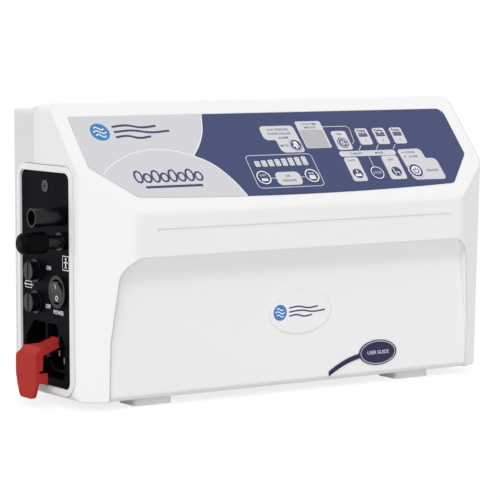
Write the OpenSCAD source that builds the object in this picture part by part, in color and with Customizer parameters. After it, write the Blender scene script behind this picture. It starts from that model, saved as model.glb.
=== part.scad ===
// Alternating pressure mattress pump: a two-shell casing with a sloped console,
// a connector panel on its left side, folding bed hooks and the works inside.
// Pump coordinates: X to the right seen from the front, Y from the brow of the
// console back, Z up from the surface that the feet stand on.

/* [Casing] */
// Width of the front casing
body_w = 335; // [280:1:402]
// Height of the casing's top over the surface it stands on
pump_h = 200; // [198:1:240]
// Depth from the brow to the rear wall
body_d = 108; // [104:1:130]
// Wall of both shells
wall = 2.5; // [2:0.1:3]
// Height of the feet
foot_h = 6; // [5:0.5:10]
// Distance from the brow to the parting line of the shells
split_y = 78; // [76:1:80]
// How far the rear shell's sides lie inside the front shell's
rear_inset = 2.5; // [2:0.1:3.5]
// How far the rear shell's top lies under the front shell's
rear_drop = 4.5; // [3:0.1:6]
// Width of the slanted corner beside the brow, seen from above
corner_w = 32.5; // [28:0.5:36]
// How far the casing's front side edges lie behind the brow
corner_set = 20; // [16:0.5:22]
// Angle at which the front face leans forward as it rises
front_lean = 2.1; // [0.5:0.1:3]

/* [Console] */
// Slope of the console over level
console_deg = 49.3; // [47:0.1:51]
// Length of the console down its slope, top edge to brow
console_len = 85; // [84:0.5:88]
// Thickness of the printed overlay
overlay_t = 0.6; // [0.4:0.1:0.8]
// Bare casing left and right of the overlay
overlay_margin = 11.5; // [9:0.5:14]
// Travel of the console keys
key_travel = 0.6; // [0.4:0.1:0.8]
// Gap around each key
key_gap = 0.3; // [0.2:0.05:0.4]
// Diameter of the round pressure and lock keys
ring_key_d = 11.6; // [10:0.1:12]
// Diameter of the power key
power_key_d = 12.5; // [11:0.1:14]
// Width of the three mode keys
mode_key_w = 10.6; // [9:0.1:11.4]
// Height of the three mode keys
mode_key_h = 14.5; // [12:0.1:16]
// Distance between the mode keys
mode_pitch = 15.2; // [14:0.1:16]

/* [Front panel] */
// Depth of the smooth recess under the shoulder
recess_d = 9; // [7:0.5:10]
// Height of the shoulder below the brow
shoulder_drop = 34.5; // [30:0.5:38]
// Width of the blank oval badge
badge_w = 52; // [40:1:60]
// Height of the blank oval badge
badge_h = 31; // [24:1:34]
// Width of the dark oval help label
label_w = 32.6; // [28:0.1:36]
// Height of the dark oval help label
label_h = 17.8; // [15:0.1:20]

/* [Connector panel] */
// Width of the black plate, front to back
plate_w = 66.4; // [66:0.1:67]
// Distance from the casing's top down to the plate's top
plate_drop = 45; // [43:0.5:46]
// Thickness of the black plate
plate_t = 2.5; // [2:0.1:3]
// Rim of the white frame around the plate
frame_rim = 4.5; // [3.5:0.1:5]
// Outside diameter of the short air nozzle
short_nozzle_d = 12.4; // [11:0.1:13]
// Reach of the short air nozzle from the plate
short_nozzle_l = 22.5; // [20:0.5:24]
// Outside diameter of the long air nozzle
long_nozzle_d = 9; // [8.4:0.1:10]
// Reach of the long air nozzle from the plate
long_nozzle_l = 30; // [28:0.5:34]
// Outside diameter of the rubber cap on the long nozzle
cap_d = 14.4; // [13.4:0.1:15]
// Length of the rubber cap
cap_l = 19; // [17:0.5:21]
// Diameter of the round power switch's rim
switch_d = 21.5; // [20:0.1:22]
// Diameter of the fuse caps
fuse_cap_d = 12.6; // [12:0.1:13.4]
// Depth of the mains inlet pocket behind the plate's face
pocket_depth = 16.5; // [14:0.5:18]
// Width of the red lead clip
clip_w = 28; // [24:0.5:29]
// Swing of the power switch between its two ends
rocker_swing = 14; // [10:1:16]

/* [Bed hooks] */
// Thickness of the hooks
hook_t = 7; // [6:0.5:8]
// Reach of a hook from its hinge axis
hook_reach = 62; // [56:1:66]
// Height of a hook
hook_h = 50; // [44:1:54]
// Clear gap in a hook for the bed board
hook_gap = 30; // [24:1:32]
// Distance of each hook's hinge from the middle
hook_x = 104; // [100:1:110]

/* [Compressor and valve] */
// Length of the compressor over its two heads
comp_len = 126; // [122:1:130]
// Diameter of the compressor's diaphragm heads
head_d = 52; // [48:1:54]
// Stroke of the vibrating armature either way
stroke = 1.5; // [1:0.1:1.5]
// Diameter of the rotary valve's motor
valve_d = 50; // [46:1:52]
// Outside diameter of the inner air tubes
tube_d = 11; // [10:0.1:12]
// Bore of the inner air tubes
tube_bore = 7.2; // [7:0.1:7.6]

/* [Hidden] */
$fn = 64;

// Clearance of pieces that sit still in one another
seat_gap = 0.3;
// Radial clearance of pins and shafts in their bores
run_gap = 0.05;
// Overlap that lets a cut run past a face
past = 1;

// Casing
half_w = body_w / 2;
rear_half_w = half_w - rear_inset;
rear_top = pump_h - rear_drop;
// Height at which the slope's plane meets Y = 0, and the radius of the brow below it
brow_z = pump_h - console_len * sin(console_deg);
brow_r = 6;
top_edge_y = console_len * cos(console_deg);
shoulder_z = brow_z - shoulder_drop;
shoulder_fall = 15;
recess_half_w = half_w - 19;
recess_foot_cut = 3;
flare_l = 13;
casing_corner_r = 6;
rear_corner_r = 3.5;
parting_gap = 0.8;
lip_t = 1.5;
lip_l = 4;
floor_z = foot_h + wall;
groove_z = brow_z - 17.6;
groove_half_w = 121.5;
groove_h = 1.8;
groove_d = 0.5;

// Screws that join the shells, and the posts that take them
screw_r = 1.5;
post_r = 4.5;
screw_sink = 15;
screw_bite = 14;
screw_head_r = 3.1;
screw_head_h = 2;
LOW_POST_Z = foot_h + 12;
HIGH_POST_Z = pump_h - 16;
POSTS = [
    for (x = [-half_w + 52.5, 0, half_w - 15.5], z = [LOW_POST_Z, HIGH_POST_Z]) [x, z]
];

// Console: places are given as [x, distance down the slope from the top edge]
overlay_half_w = half_w - overlay_margin;
overlay_top = 12.2;
overlay_side_end = 54;
overlay_foot = 82.8;
overlay_bow = 3.5;
overlay_proud = 0.2;
overlay_left_corner_w = 27.5;
overlay_right_corner_w = 22.8;
key_proud = 0.5;
well_depth = overlay_t + key_travel + 0.4;
stem_r = 2.5;
stem_end = 4;
board_lift = 8;
board_t = 1.6;
window_size = [18.6, 15];
WINDOW_AT = [31.3, 36.3];
lamp_count = 8;
lamp_w = 4;
lamp_pitch = 5.65;
lamp_foot = 58.7;
LAMP_AT = [-25.6, 53.8];
lamp_step = 0.36;
lamp_gap = 0.15;
lamp_sink = wall + 2;
ROUND_KEYS = [ring_key_d, ring_key_d];
// Each key holds its place, its width and height, and its corner radius
MUTE_KEY = [[12.9, 41.3], [10, 10], 5];
CYCLE_KEY = [[53.4, 38.6], [12.7, 16.7], 2];
MODE_KEYS = [for (i = [0:2]) [[73.9 + i * mode_pitch, 35.8], [mode_key_w, mode_key_h], 1.8]];
STATIC_KEY = [[53.5, 64.2], [12.1, 20.9], 2];
LOCK_KEY = [[70.4, 68], ROUND_KEYS, ring_key_d / 2];
SEAT_KEY = [[87.1, 63.9], [14.1, 20.8], 2];
POWER_KEY = [[104.8, 67.5], [power_key_d, power_key_d], power_key_d / 2];
SOFTER_KEY = [[-25.6, 68.1], ROUND_KEYS, ring_key_d / 2];
FIRMER_KEY = [[14.2, 68.1], ROUND_KEYS, ring_key_d / 2];
KEYS = concat(
    [MUTE_KEY, CYCLE_KEY, STATIC_KEY, LOCK_KEY, SEAT_KEY, POWER_KEY, SOFTER_KEY, FIRMER_KEY],
    MODE_KEYS
);
// Corners of the display board on the slope, and its four stakes
BOARD_X = [-40, 126];
BOARD_V = [22, 80];
STAKES = [for (x = [BOARD_X[0] + 5, BOARD_X[1] - 5], v = [BOARD_V[0] + 4, BOARD_V[1] - 4]) [x, v]];
stake_r = 3;
stake_pin_r = 1.2;

// Front panel
BADGE_AT = [2.5, 56.3];
LABEL_AT = [69.9, 22.4];
badge_t = 0.8;
label_t = 0.6;
tail_w = 3.4;

// Connector panel
plate_x = -(half_w - 1);
plate_back = plate_x + plate_t;
plate_y = corner_set + 6.3;
plate_z = foot_h + 7.5;
plate_top = pump_h - plate_drop;
plate_r = 5.5;
frame_face = -(half_w + 0.6);
frame_back = -(half_w - 7.5);
frame_ledge = 2;
PLATE_SCREW_AT = [plate_y + 33.9, plate_top - 9.5];
SHORT_AT = [plate_y + 11.7, plate_top - 28.2];
LONG_AT = [plate_y + 9.7, plate_top - 44.5];
SWITCH_AT = [plate_y + 16, plate_top - 78.1];
FUSES_AT = [[plate_y + 46.7, plate_top - 66.7], [plate_y + 46.7, plate_top - 87.7]];
POCKET_AT = [plate_y + 9.2, plate_z + 5];
pocket_w = 52.8;
pocket_h = 36.5;
pocket_corner = 11.5;
pocket_wall = 2;
pocket_floor = plate_x + pocket_depth;
INLET_AT = [POCKET_AT[0] + 25.5, POCKET_AT[1] + 11.7];
pivot_z = POCKET_AT[1] + 23.8;
pivot_x = plate_x + 5;
clip_pin_r = 1.5;
clip_y = INLET_AT[0] - clip_w / 2;
clip_reach = 15.2;
clip_t = 2.5;
clip_arm_w = 14;
clip_face = plate_x - clip_reach;
clip_foot = plate_z - 8;
clip_top = plate_z + 22;
lug_t = 2.5;
lug_r = 3.4;
nozzle_flange_t = 2;
nozzle_tail = 22;
nozzle_tail_r = tube_bore / 2 - 0.1;
nozzle_tail_bore_r = 2.4;
collar_r = 6;
collar_l = 3.5;
cap_x0 = long_nozzle_l + 3 - cap_l;
cap_end = long_nozzle_l + 3;
switch_body_r = switch_d / 2 - 1.1;
switch_rim_t = 2;
switch_body_l = 17;
switch_tail_l = 7;
switch_tail_x = 5;
switch_well_r = switch_body_r - 1.2;
switch_well_d = 8.6;
rocker_r = switch_well_r - 0.4;
rocker_axis = 2.2;
rocker_pin_r = 1.2;
fuse_rim_r = fuse_cap_d / 2 + 1.3;
fuse_rim_t = 1.3;
fuse_barrel_r = 6;
fuse_barrel_l = 32;
fuse_tail_l = 7;
fuse_bore_r = 4.6;
fuse_r = 2.6;
fuse_l = 20;
fuse_end_l = 5;
fuse_in = 6.2;

// Bed hooks
hook_axis_y = body_d + 6.5;
knuckle_r = 5.5;
hook_pin_r = 2;
hook_top = rear_top - 22;
lug_h = 6;
hook_peg_r = 1.5;
// The strip leaves the hook's barrel its clearance
bracket_strip_t = hook_axis_y - body_d - knuckle_r;
// Solid foot under each hinge pin
blind_t = 1.5;
bracket_top = hook_top + seat_gap + lug_h;
bracket_foot = hook_top - hook_h - seat_gap - lug_h;
hook_arm_h = 21;
hook_lip_w = 14;

// Air filter in the rear wall
FILTER_AT = [0, foot_h + 50];
filter_size = [61, 37];
filter_rim = 4;
filter_cover_t = 2.6;
filter_bay_d = 14;
foam_t = 8;
foam_y = body_d - filter_bay_d + 2;

// Compressor
comp_x = half_w - 27.5 - comp_len;
comp_y = 48;
comp_z = floor_z + 43.5;
head_l = 23.8;
diaphragm_t = 2.2;
end_plate_t = 5;
frame_side = 58;
mount_h = 11.5;
mount_y = 19;
base_t = 4;
arm_l = 50;
arm_w = 30;
arm_h = 12;
rod_r = 5;
clamp_r = 9;
core_l = 60;
core_d = 14;
core_h = 36;
core_y = arm_w / 2 + 1 + core_d / 2;
core_back = 4;
slot_x = 14;
slot_w = 11;
rail_w = 9;
winding_head = 6;
spigot_r = tube_bore / 2 - 0.1;
spigot_l = 10;
spigot_y = 9;
spigot_bore_r = 2.2;

// Rotary valve
valve_x = -half_w + 92.5;
valve_y = LONG_AT[0] + 16;
valve_leg_h = 5.5;
motor_h = 18;
valve_base_z = floor_z + valve_leg_h + motor_h;
valve_flange_t = 4;
valve_room_h = 12;
valve_lid_t = 6;
valve_r = 24;
valve_room_r = 21;
shaft_r = 3;
valve_spigot_z = valve_base_z + valve_flange_t + valve_room_h + valve_lid_t;
VALVE_PORTS = [
    [valve_x + 5, SHORT_AT[0]],
    [valve_x - 9, LONG_AT[0]],
    [valve_x + 13, comp_y + spigot_y],
    [valve_x, comp_y + spigot_y]
];

// Boards
MAIN_BOARD_X = [-half_w + 47.5, -half_w + 122.5];
MAIN_BOARD_Z = [plate_top - 65, plate_top + 15];
main_board_y = body_d - 12;
standoff_r = 3;

// Outer limits of the whole pump, which set its origin
x_max = half_w;
x_min = plate_x - cap_end;
y_max = hook_axis_y + knuckle_r;
// The brow's arc touches the leaning face and the slope; its foremost point is y_min
brow_y = (brow_r * (1 + sin(front_lean) / cos(console_deg)) - brow_z * sin(front_lean))
    / (cos(front_lean) + sin(front_lean) * tan(console_deg));
y_min = brow_y - brow_r;

// Vector of length one along v
function unit(v) = v / norm(v);
// Points on the circle about c from a to b, the short way
function arc_between(c, a, b, n) =
    let (r = norm(a - c), start = atan2(a.y - c.y, a.x - c.x))
    let (turn = (atan2(b.y - c.y, b.x - c.x) - start + 540) % 360 - 180)
    [for (i = [0:n]) c + r * [cos(start + turn * i / n), sin(start + turn * i / n)]];
// Arc of radius r that rounds the corner at q between p and s
function corner_arc(p, q, s, r, n) =
    let (u = unit(p - q), w = unit(s - q), half = acos(u * w) / 2)
    arc_between(q + unit(u + w) * r / sin(half), q + u * r / tan(half), q + w * r / tan(half), n);
// Outline with its corners rounded; r is one radius or one for each corner
function rounded(points, r, n = 6) =
    let (m = len(points))
    [for (i = [0:m - 1])
        let (ri = is_list(r) ? r[i] : r)
        each (ri > 0 ? corner_arc(points[(i + m - 1) % m], points[i], points[(i + 1) % m], ri, n)
                     : [points[i]])];
// Outline that runs anticlockwise, moved inward by t
function inset(points, t) =
    let (m = len(points))
    [for (i = [0:m - 1])
        let (a = unit(points[i] - points[(i + m - 1) % m]), b = unit(points[(i + 1) % m] - points[i]))
        points[i] + t * ([-a.y, a.x] + [-b.y, b.x]) / (1 + a * b)];
// Corners of a rectangle from its low corner and its size
function box_points(at, size) =
    [at, at + [size.x, 0], at + size, at + [0, size.y]];
// Corners of a rectangle about its centre
function centred_points(at, size) = box_points(at - size / 2, size);
// Points of an ellipse
function ellipse_points(at, size, n = 48) =
    [for (i = [0:n - 1]) at + [size.x * cos(360 * i / n), size.y * sin(360 * i / n)] / 2];

// Puts the pump's footprint centre at the origin
module place() translate([-(x_max + x_min) / 2, -(y_max + y_min) / 2, 0]) children();
// Outlines drawn in Y and Z, X and Z, or X and Y, made solid between two planes
module along_x(x0, x1) translate([x0, 0, 0]) rotate([90, 0, 90]) linear_extrude(x1 - x0) children();
module along_y(y0, y1) translate([0, y1, 0]) rotate([90, 0, 0]) linear_extrude(y1 - y0) children();
module along_z(z0, z1) translate([0, 0, z0]) linear_extrude(z1 - z0) children();
// Console frame: children stand on the slope, Z out of it, Y up the slope
module on_console(at = [0, 0], lift = 0)
    translate([0, top_edge_y, pump_h]) rotate([console_deg, 0, 0]) translate([at.x, -at.y, lift])
        children();
// Left side frame: children stand on the plate's face, their Z out to the left
module on_side(at, out = 0)
    translate([plate_x - out, at.x, at.y]) rotate([0, -90, 0]) children();
// Screw post frames: children stand on each post's axis, their Z to the back
module at_posts() for (p = POSTS) translate([p.x, 0, p.y]) rotate([-90, 0, 0]) children();
// Rod of radius r between two heights
module rod(r, z0, z1) translate([0, 0, z0]) cylinder(r = r, h = z1 - z0);
// Section moved along points whose runs meet at right angles, with rounded bends
module swept(points, bend) {
    last = len(points) - 1;
    for (i = [0:last - 1]) {
        u = unit(points[i + 1] - points[i]);
        a = points[i] + (i == 0 ? 0 : bend) * u;
        b = points[i + 1] - (i == last - 1 ? 0 : bend) * u;
        translate(a) rotate([0, acos(u.z), atan2(u.y, u.x)]) linear_extrude(norm(b - a)) children();
    }
    for (i = [1:1:last - 1]) {
        u = unit(points[i - 1] - points[i]);
        w = unit(points[i + 1] - points[i]);
        c = points[i] + bend * (u + w);
        n = cross(w, u);
        multmatrix([
            [-w.x, -u.x, n.x, c.x],
            [-w.y, -u.y, n.y, c.y],
            [-w.z, -u.z, n.z, c.z]
        ]) rotate_extrude(angle = 90) translate([bend, 0]) children();
    }
}

// Place of the leaning front face at height z, and the line where it meets the slope
function face_y(z) = -z * tan(front_lean);
CREST_Z = brow_z / (1 + tan(front_lean) * tan(console_deg));
CREST = [face_y(CREST_Z), CREST_Z];

// Outline of the front shell from the side, from the front foot anticlockwise
FRONT_SIDE = [
    [face_y(foot_h), foot_h], [body_d, foot_h], [body_d, rear_top + 0.5], [split_y, rear_top + 0.5],
    [split_y - flare_l, pump_h], [top_edge_y, pump_h], CREST
];
// Outline of its front corners from above, in a frame that leans with the front face
CORNER_PLAN = [
    [-half_w + corner_w, 0], [half_w - corner_w, 0], [half_w, corner_set], [half_w, 2 * body_d],
    [-half_w, 2 * body_d], [-half_w, corner_set]
];
// Outline of its sides from above, which draw in to meet the rear shell
FLARE_PLAN = [
    [-half_w, -corner_set], [half_w, -corner_set], [half_w, split_y - flare_l],
    [half_w - rear_inset + 0.5, split_y], [half_w - rear_inset + 0.5, body_d],
    [-half_w + rear_inset - 0.5, body_d], [-half_w + rear_inset - 0.5, split_y],
    [-half_w, split_y - flare_l]
];
FRONT_FACE = box_points([-half_w, foot_h], [body_w, pump_h - foot_h]);
REAR_SIDE = box_points([0, foot_h], [body_d, rear_top - foot_h]);
REAR_PLAN = box_points([-rear_half_w, 0], [2 * rear_half_w, body_d]);
REAR_FACE = box_points([-rear_half_w, foot_h], [2 * rear_half_w, rear_top - foot_h]);

// Front casing's volume, t inside its faces, up to the plane Y = reach
module front_block(t, reach) {
    intersection() {
        along_x(-half_w, half_w) polygon(rounded(inset(FRONT_SIDE, t), [4, 0, 0, 0, 16, 6, brow_r]));
        rotate([front_lean, 0, 0]) along_z(-corner_set, pump_h + corner_set)
            polygon(rounded(inset(CORNER_PLAN, t), [12, 12, 9, 0, 0, 9]));
        along_z(0, pump_h) polygon(rounded(inset(FLARE_PLAN, t), [0, 0, 16, 0, 0, 0, 0, 16]));
        along_y(-corner_set, reach) polygon(rounded(inset(FRONT_FACE, t), casing_corner_r - t));
    }
}
// Rear casing's volume, t inside its faces, from the plane Y = start back
module rear_block(t, start) {
    r = rear_corner_r - t;
    intersection() {
        along_x(-half_w, half_w) polygon(rounded(inset(REAR_SIDE, t), [0, 4 - t / 2, r, 0]));
        along_z(0, pump_h) polygon(rounded(inset(REAR_PLAN, t), [0, 0, r, r]));
        along_y(start, body_d + past) polygon(rounded(inset(REAR_FACE, t), r));
    }
}
// What the smooth recess takes off the front, grown by g
module recess_cut(g) {
    ahead = 20;
    w = recess_half_w;
    brim = face_y(shoulder_z);
    profile = [
        [-ahead, -ahead], [recess_d + recess_foot_cut, -ahead], [recess_d + recess_foot_cut, foot_h],
        [recess_d, foot_h + recess_foot_cut], [recess_d, shoulder_z - shoulder_fall],
        [brim, shoulder_z], [brim - 6, shoulder_z + 2], [-ahead, shoulder_z + 2]
    ];
    outline = [
        [-w, -ahead], [w, -ahead], [w - 0.5, shoulder_z - 56], [w - 5.5, shoulder_z - 9],
        [w - 20, shoulder_z + 2], [-w + 20, shoulder_z + 2], [-w + 5.5, shoulder_z - 9],
        [-w + 0.5, shoulder_z - 56]
    ];
    intersection() {
        along_x(-half_w, half_w) polygon(rounded(inset(profile, -g), [0, 0, 0, 2, 14, 8, 0, 0]));
        along_y(-ahead, 2 * ahead)
            polygon(rounded(inset(outline, -g), [0, 0, 60, 16, 24, 24, 16, 60], 8));
    }
}
// Opening in both shells' left sides that takes the white frame
module side_opening() {
    along_x(-half_w - past, frame_back + past)
        polygon(rounded(frame_outline(seat_gap), plate_r + frame_rim + seat_gap));
}
// Outline of the white frame, grown by g
function frame_outline(g) =
    inset(box_points([plate_y, plate_z], [plate_w, plate_top - plate_z]), -frame_rim - g);
// Outline of the black plate, grown by g
function plate_outline(g) =
    inset(box_points([plate_y, plate_z], [plate_w, plate_top - plate_z]), -g);

// Outline of the printed overlay on the slope, grown by g; its foot bows down in the middle
function overlay_outline(g) =
    let (w = overlay_half_w, left = w - overlay_left_corner_w, right = w - overlay_right_corner_w)
    rounded(inset(concat(
        [[-w, -overlay_side_end]],
        [for (i = [-5:5]) [(i < 0 ? left : right) * i / 5, overlay_bow * i * i / 25 - overlay_foot]],
        [[w, -overlay_side_end], [w, -overlay_top], [-w, -overlay_top]]
    ), -g), concat([6, 6], [for (i = [1:9]) 0], [6, 6, 6, 2]));
// Outline of one key about its centre, grown by g
module key_outline(key, g) {
    if (key[2] * 2 >= key[1].x) circle(r = key[1].x / 2 + g);
    else polygon(rounded(centred_points([0, 0], key[1] + [2 * g, 2 * g]), key[2] + g));
}
// Outline of lamp i, grown by g
module lamp_outline(i, g) {
    top = LAMP_AT[1] - i * lamp_step;
    translate([LAMP_AT[0] + i * lamp_pitch, -(top + lamp_foot) / 2])
        polygon(rounded(centred_points([0, 0], [lamp_w + 2 * g, lamp_foot - top + 2 * g]), 0.8 + g));
}
// What the console's overlay, keys, display and lamps take out of the front shell
module console_cuts() {
    on_console([0, 0], -overlay_t) linear_extrude(6) polygon(overlay_outline(0.25));
    for (key = KEYS) {
        on_console(key[0], -well_depth) linear_extrude(6) key_outline(key, key_gap);
        on_console(key[0]) rod(stem_r + key_gap, -6, 1);
    }
    on_console(WINDOW_AT, -6) linear_extrude(7)
        polygon(rounded(centred_points([0, 0], window_size + [-1.4, -1.4]), 0.6));
    for (i = [0:lamp_count - 1]) on_console([0, 0], -6) linear_extrude(7) lamp_outline(i, lamp_gap);
}

module front_shell() {
    color("#f2f1f2") place() {
        difference() {
            union() {
                difference() {
                    front_block(0, split_y);
                    recess_cut(0);
                    difference() {
                        front_block(wall, split_y + past);
                        recess_cut(wall);
                    }
                    side_opening();
                }
                front_posts();
                panel_bracket();
                for (s = STAKES) on_console(s) {
                    rod(stake_r, -board_lift, -wall + 0.5);
                    rod(stake_pin_r, -board_lift - board_t - 1, -board_lift);
                }
            }
            at_posts() rod(screw_r + 0.1, split_y - screw_bite - 2, split_y + past);
            console_cuts();
            front_groove();
            for (x = [-1, 1]) foot_hole(x * foot_x, front_foot_y);
            on_side(PLATE_SCREW_AT) rod(screw_r + 0.1, -14, 0);
        }
    }
}
// Posts on the front shell's inside that the casing screws bite into
module front_posts() {
    intersection() {
        difference() {
            front_block(wall / 2, split_y);
            recess_cut(wall / 2);
        }
        at_posts() rod(post_r, 0, split_y);
    }
}
// Web and boss inside the casing that the plate's screw bites into
module panel_bracket() {
    web_t = 3;
    web_x = frame_back + 0.5;
    web_w = 9;
    intersection() {
        union() {
            translate([web_x, 0, PLATE_SCREW_AT[1] - web_t / 2]) cube([web_w, PLATE_SCREW_AT[0], web_t]);
            on_side(PLATE_SCREW_AT) rod(post_r, plate_x - web_x - web_w, -plate_t);
        }
        front_block(wall / 2, split_y);
    }
}
// Shallow groove across the front above the shoulder
module front_groove() {
    along_y(-corner_set, face_y(groove_z) + groove_d)
        translate([BADGE_AT.x, groove_z]) square([2 * groove_half_w, groove_h], center = true);
}

// Places of the feet
foot_x = half_w - 59;
foot_size = [29, 22];
front_foot_y = 30;
rear_foot_y = body_d - 15;
foot_peg_r = 3;
module foot_hole(x, y) translate([x, y, foot_h - past]) cylinder(r = foot_peg_r + 0.1, h = wall + 2 * past);

module rear_shell() {
    color("#dedddf") place() {
        difference() {
            union() {
                difference() {
                    rear_block(0, split_y + parting_gap);
                    rear_block(wall, split_y + 8);
                    rear_block(wall + lip_t, split_y - past);
                }
                parting_lip();
                rear_posts();
                filter_bay();
                board_standoffs();
            }
            at_posts() {
                rod(screw_r + 0.2, split_y - past, body_d);
                rod(screw_head_r + 0.3, body_d - screw_sink, body_d + past);
            }
            side_opening();
            filter_cuts();
            for (x = [-1, 1]) foot_hole(x * foot_x, rear_foot_y);
            at_hook_pegs() rod(hook_peg_r + 0.1, body_d - wall - past, body_d + past);
        }
    }
}
// Thin lip on the rear shell that nests inside the front shell
module parting_lip() {
    difference() {
        intersection() {
            front_block(wall + seat_gap, split_y + parting_gap + 2);
            translate([-half_w, split_y - lip_l, 0]) cube([body_w, lip_l + parting_gap + 2, pump_h]);
        }
        front_block(wall + seat_gap + lip_t, split_y + 10);
        at_posts() rod(post_r + seat_gap, split_y - lip_l - past, split_y + parting_gap);
    }
}
// Posts in the rear shell that the casing screws pass through
module rear_posts() {
    intersection() {
        rear_block(wall / 2, split_y);
        at_posts() rod(post_r, split_y, body_d);
    }
}
// Posts on the rear wall that carry the main board
module board_standoffs() {
    edge = 4;
    for (x = MAIN_BOARD_X + [edge, -edge], z = MAIN_BOARD_Z + [edge, -edge])
        translate([x, 0, z]) rotate([-90, 0, 0]) rod(standoff_r, main_board_y + board_t, body_d - wall / 2);
}
// Outline of the filter, grown by g, with corners of radius r
module filter_outline(g, r) polygon(rounded(centred_points(FILTER_AT, filter_size + [2 * g, 2 * g]), r));
// Box inside the rear wall that holds the filter
module filter_bay() along_y(body_d - filter_bay_d, body_d - wall / 2) filter_outline(filter_rim + 2, 3);
// Seat of the filter's cover, the box's room, and the slots in the box's floor
module filter_cuts() {
    slot_w = 2.5;
    slot_pitch = 6;
    slot_count = 9;
    along_y(body_d - filter_cover_t - 0.2, body_d + past) filter_outline(filter_rim + seat_gap, 2);
    along_y(foam_y, body_d) filter_outline(0, 1);
    along_y(foam_y - 3, foam_y + past) for (i = [0:slot_count - 1])
        polygon(centred_points(FILTER_AT + [(i - (slot_count - 1) / 2) * slot_pitch, 0], [slot_w, 28]));
}
module side_frame() {
    color("#ebeaeb") place() {
        difference() {
            along_x(frame_face, frame_back) polygon(rounded(frame_outline(0), plate_r + frame_rim));
            along_x(frame_face - past, plate_back) polygon(rounded(plate_outline(seat_gap), plate_r));
            along_x(plate_back - past, frame_back + past)
                polygon(rounded(plate_outline(-frame_ledge), plate_r - frame_ledge));
        }
    }
}

// Outline of the inlet pocket, grown by g, with its upper corners cut off
function pocket_outline(g) =
    let (y = POCKET_AT[0], z = POCKET_AT[1])
    rounded(inset([
        [y, z], [y + pocket_w, z], [y + pocket_w, z + pocket_h - pocket_corner],
        [y + pocket_w - pocket_corner, z + pocket_h], [y + pocket_corner, z + pocket_h],
        [y, z + pocket_h - pocket_corner]
    ], -g), 3 + g);

module connector_plate() {
    color("#1f2026") place() {
        difference() {
            union() {
                along_x(plate_x, plate_back) polygon(rounded(plate_outline(0), plate_r));
                along_x(plate_x, pocket_floor + plate_t) polygon(pocket_outline(pocket_wall));
            }
            difference() {
                along_x(plate_x - past, pocket_floor) polygon(pocket_outline(0));
                for (y = [clip_y - lug_t - seat_gap, clip_y + clip_arm_w + seat_gap]) clip_lug(y);
            }
            along_x(pocket_floor - past, pocket_floor + plate_t + past) polygon(inlet_body_outline(0.2));
            at_inlet_screws() rod(screw_r + 0.1, -plate_t - 3, past);
            on_side(PLATE_SCREW_AT) {
                rod(screw_r + 0.2, -9, 1);
                rod(4.4, -1.2, 1);
            }
            on_side(SHORT_AT) rod(short_nozzle_d / 2 + 0.1, -9, 1);
            on_side(LONG_AT) rod(long_nozzle_d / 2 + 0.1, -9, 1);
            on_side(SWITCH_AT) rod(switch_body_r + 0.1, -9, 1);
            for (f = FUSES_AT) on_side(f) rod(fuse_barrel_r + 0.1, -9, 1);
            along_y(clip_y - lug_t - seat_gap - past, clip_y + clip_arm_w + lug_t + seat_gap + past)
                translate([pivot_x, pivot_z]) circle(r = clip_pin_r + run_gap);
        }
    }
}
// Inlet screw frames: children stand on the pocket's floor, their Z out to the left
module at_inlet_screws() for (s = [-1, 1])
    on_side(INLET_AT + [s * inlet_screw_x, 0], -pocket_depth) children();
// One of the two lugs that hang from the pocket's ceiling and carry the clip's pin
module clip_lug(y) {
    translate([0, y, 0]) along_y(0, lug_t) {
        translate([pivot_x, pivot_z]) circle(r = lug_r);
        translate([pivot_x - lug_r, pivot_z])
            square([2 * lug_r, POCKET_AT[1] + pocket_h - pivot_z + past]);
    }
}

module plate_screw() {
    color("silver") place() on_side(PLATE_SCREW_AT) difference() {
        union() {
            rod(4.1, -1.2, 0.3);
            rod(screw_r, -12, -1.2);
        }
        for (a = [0, 90]) rotate(a) translate([-2.2, -0.4, -0.5]) cube([4.4, 0.8, 2]);
    }
}

module console_overlay() {
    color("#4b5377") place() on_console() difference() {
        translate([0, 0, -overlay_t]) linear_extrude(overlay_t + overlay_proud) polygon(overlay_outline(0));
        translate([0, 0, -overlay_t - past]) linear_extrude(4) {
            for (key = KEYS) translate([key[0].x, -key[0].y]) key_outline(key, key_gap);
            for (i = [0:lamp_count - 1]) lamp_outline(i, lamp_gap);
            translate([WINDOW_AT.x, -WINDOW_AT.y])
                polygon(rounded(centred_points([0, 0], window_size + [0.2, 0.2]), 0.9));
        }
    }
}

module display_window() {
    color("#b8b5b8") place() on_console(WINDOW_AT, -overlay_t) linear_extrude(overlay_t + overlay_proud)
        polygon(rounded(centred_points([0, 0], window_size), 0.8));
}

module pressure_lamps() {
    color("#d6d6da") place() for (i = [0:lamp_count - 1])
        on_console([0, 0], -lamp_sink) linear_extrude(lamp_sink + overlay_proud) lamp_outline(i, 0);
}

// One console key: a pad in the overlay's cut-out on a stem that meets its switch
module console_key(key) {
    place() on_console(key[0]) {
        translate([0, 0, -overlay_t]) linear_extrude(overlay_t + key_proud) key_outline(key, 0);
        rod(stem_r, -stem_end, -overlay_t);
    }
}
module alarm_mute_key() color("#d6d6da") console_key(MUTE_KEY);
module cycle_time_key() color("#d6d6da") console_key(CYCLE_KEY);
module mode_key_left() color("#d6d6da") console_key(MODE_KEYS[0]);
module mode_key_centre() color("#d6d6da") console_key(MODE_KEYS[1]);
module mode_key_right() color("#d6d6da") console_key(MODE_KEYS[2]);
module static_key() color("#d6d6da") console_key(STATIC_KEY);
module lock_key() color("#d6d6da") console_key(LOCK_KEY);
module seat_key() color("#d6d6da") console_key(SEAT_KEY);
module power_key() color("#f4f4f6") console_key(POWER_KEY);
module softer_key() color("#d6d6da") console_key(SOFTER_KEY);
module firmer_key() color("#d6d6da") console_key(FIRMER_KEY);

module oval_badge() {
    color("#f0f0f1") place() along_y(recess_d - badge_t, recess_d)
        polygon(ellipse_points(BADGE_AT, [badge_w, badge_h]));
}

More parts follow.
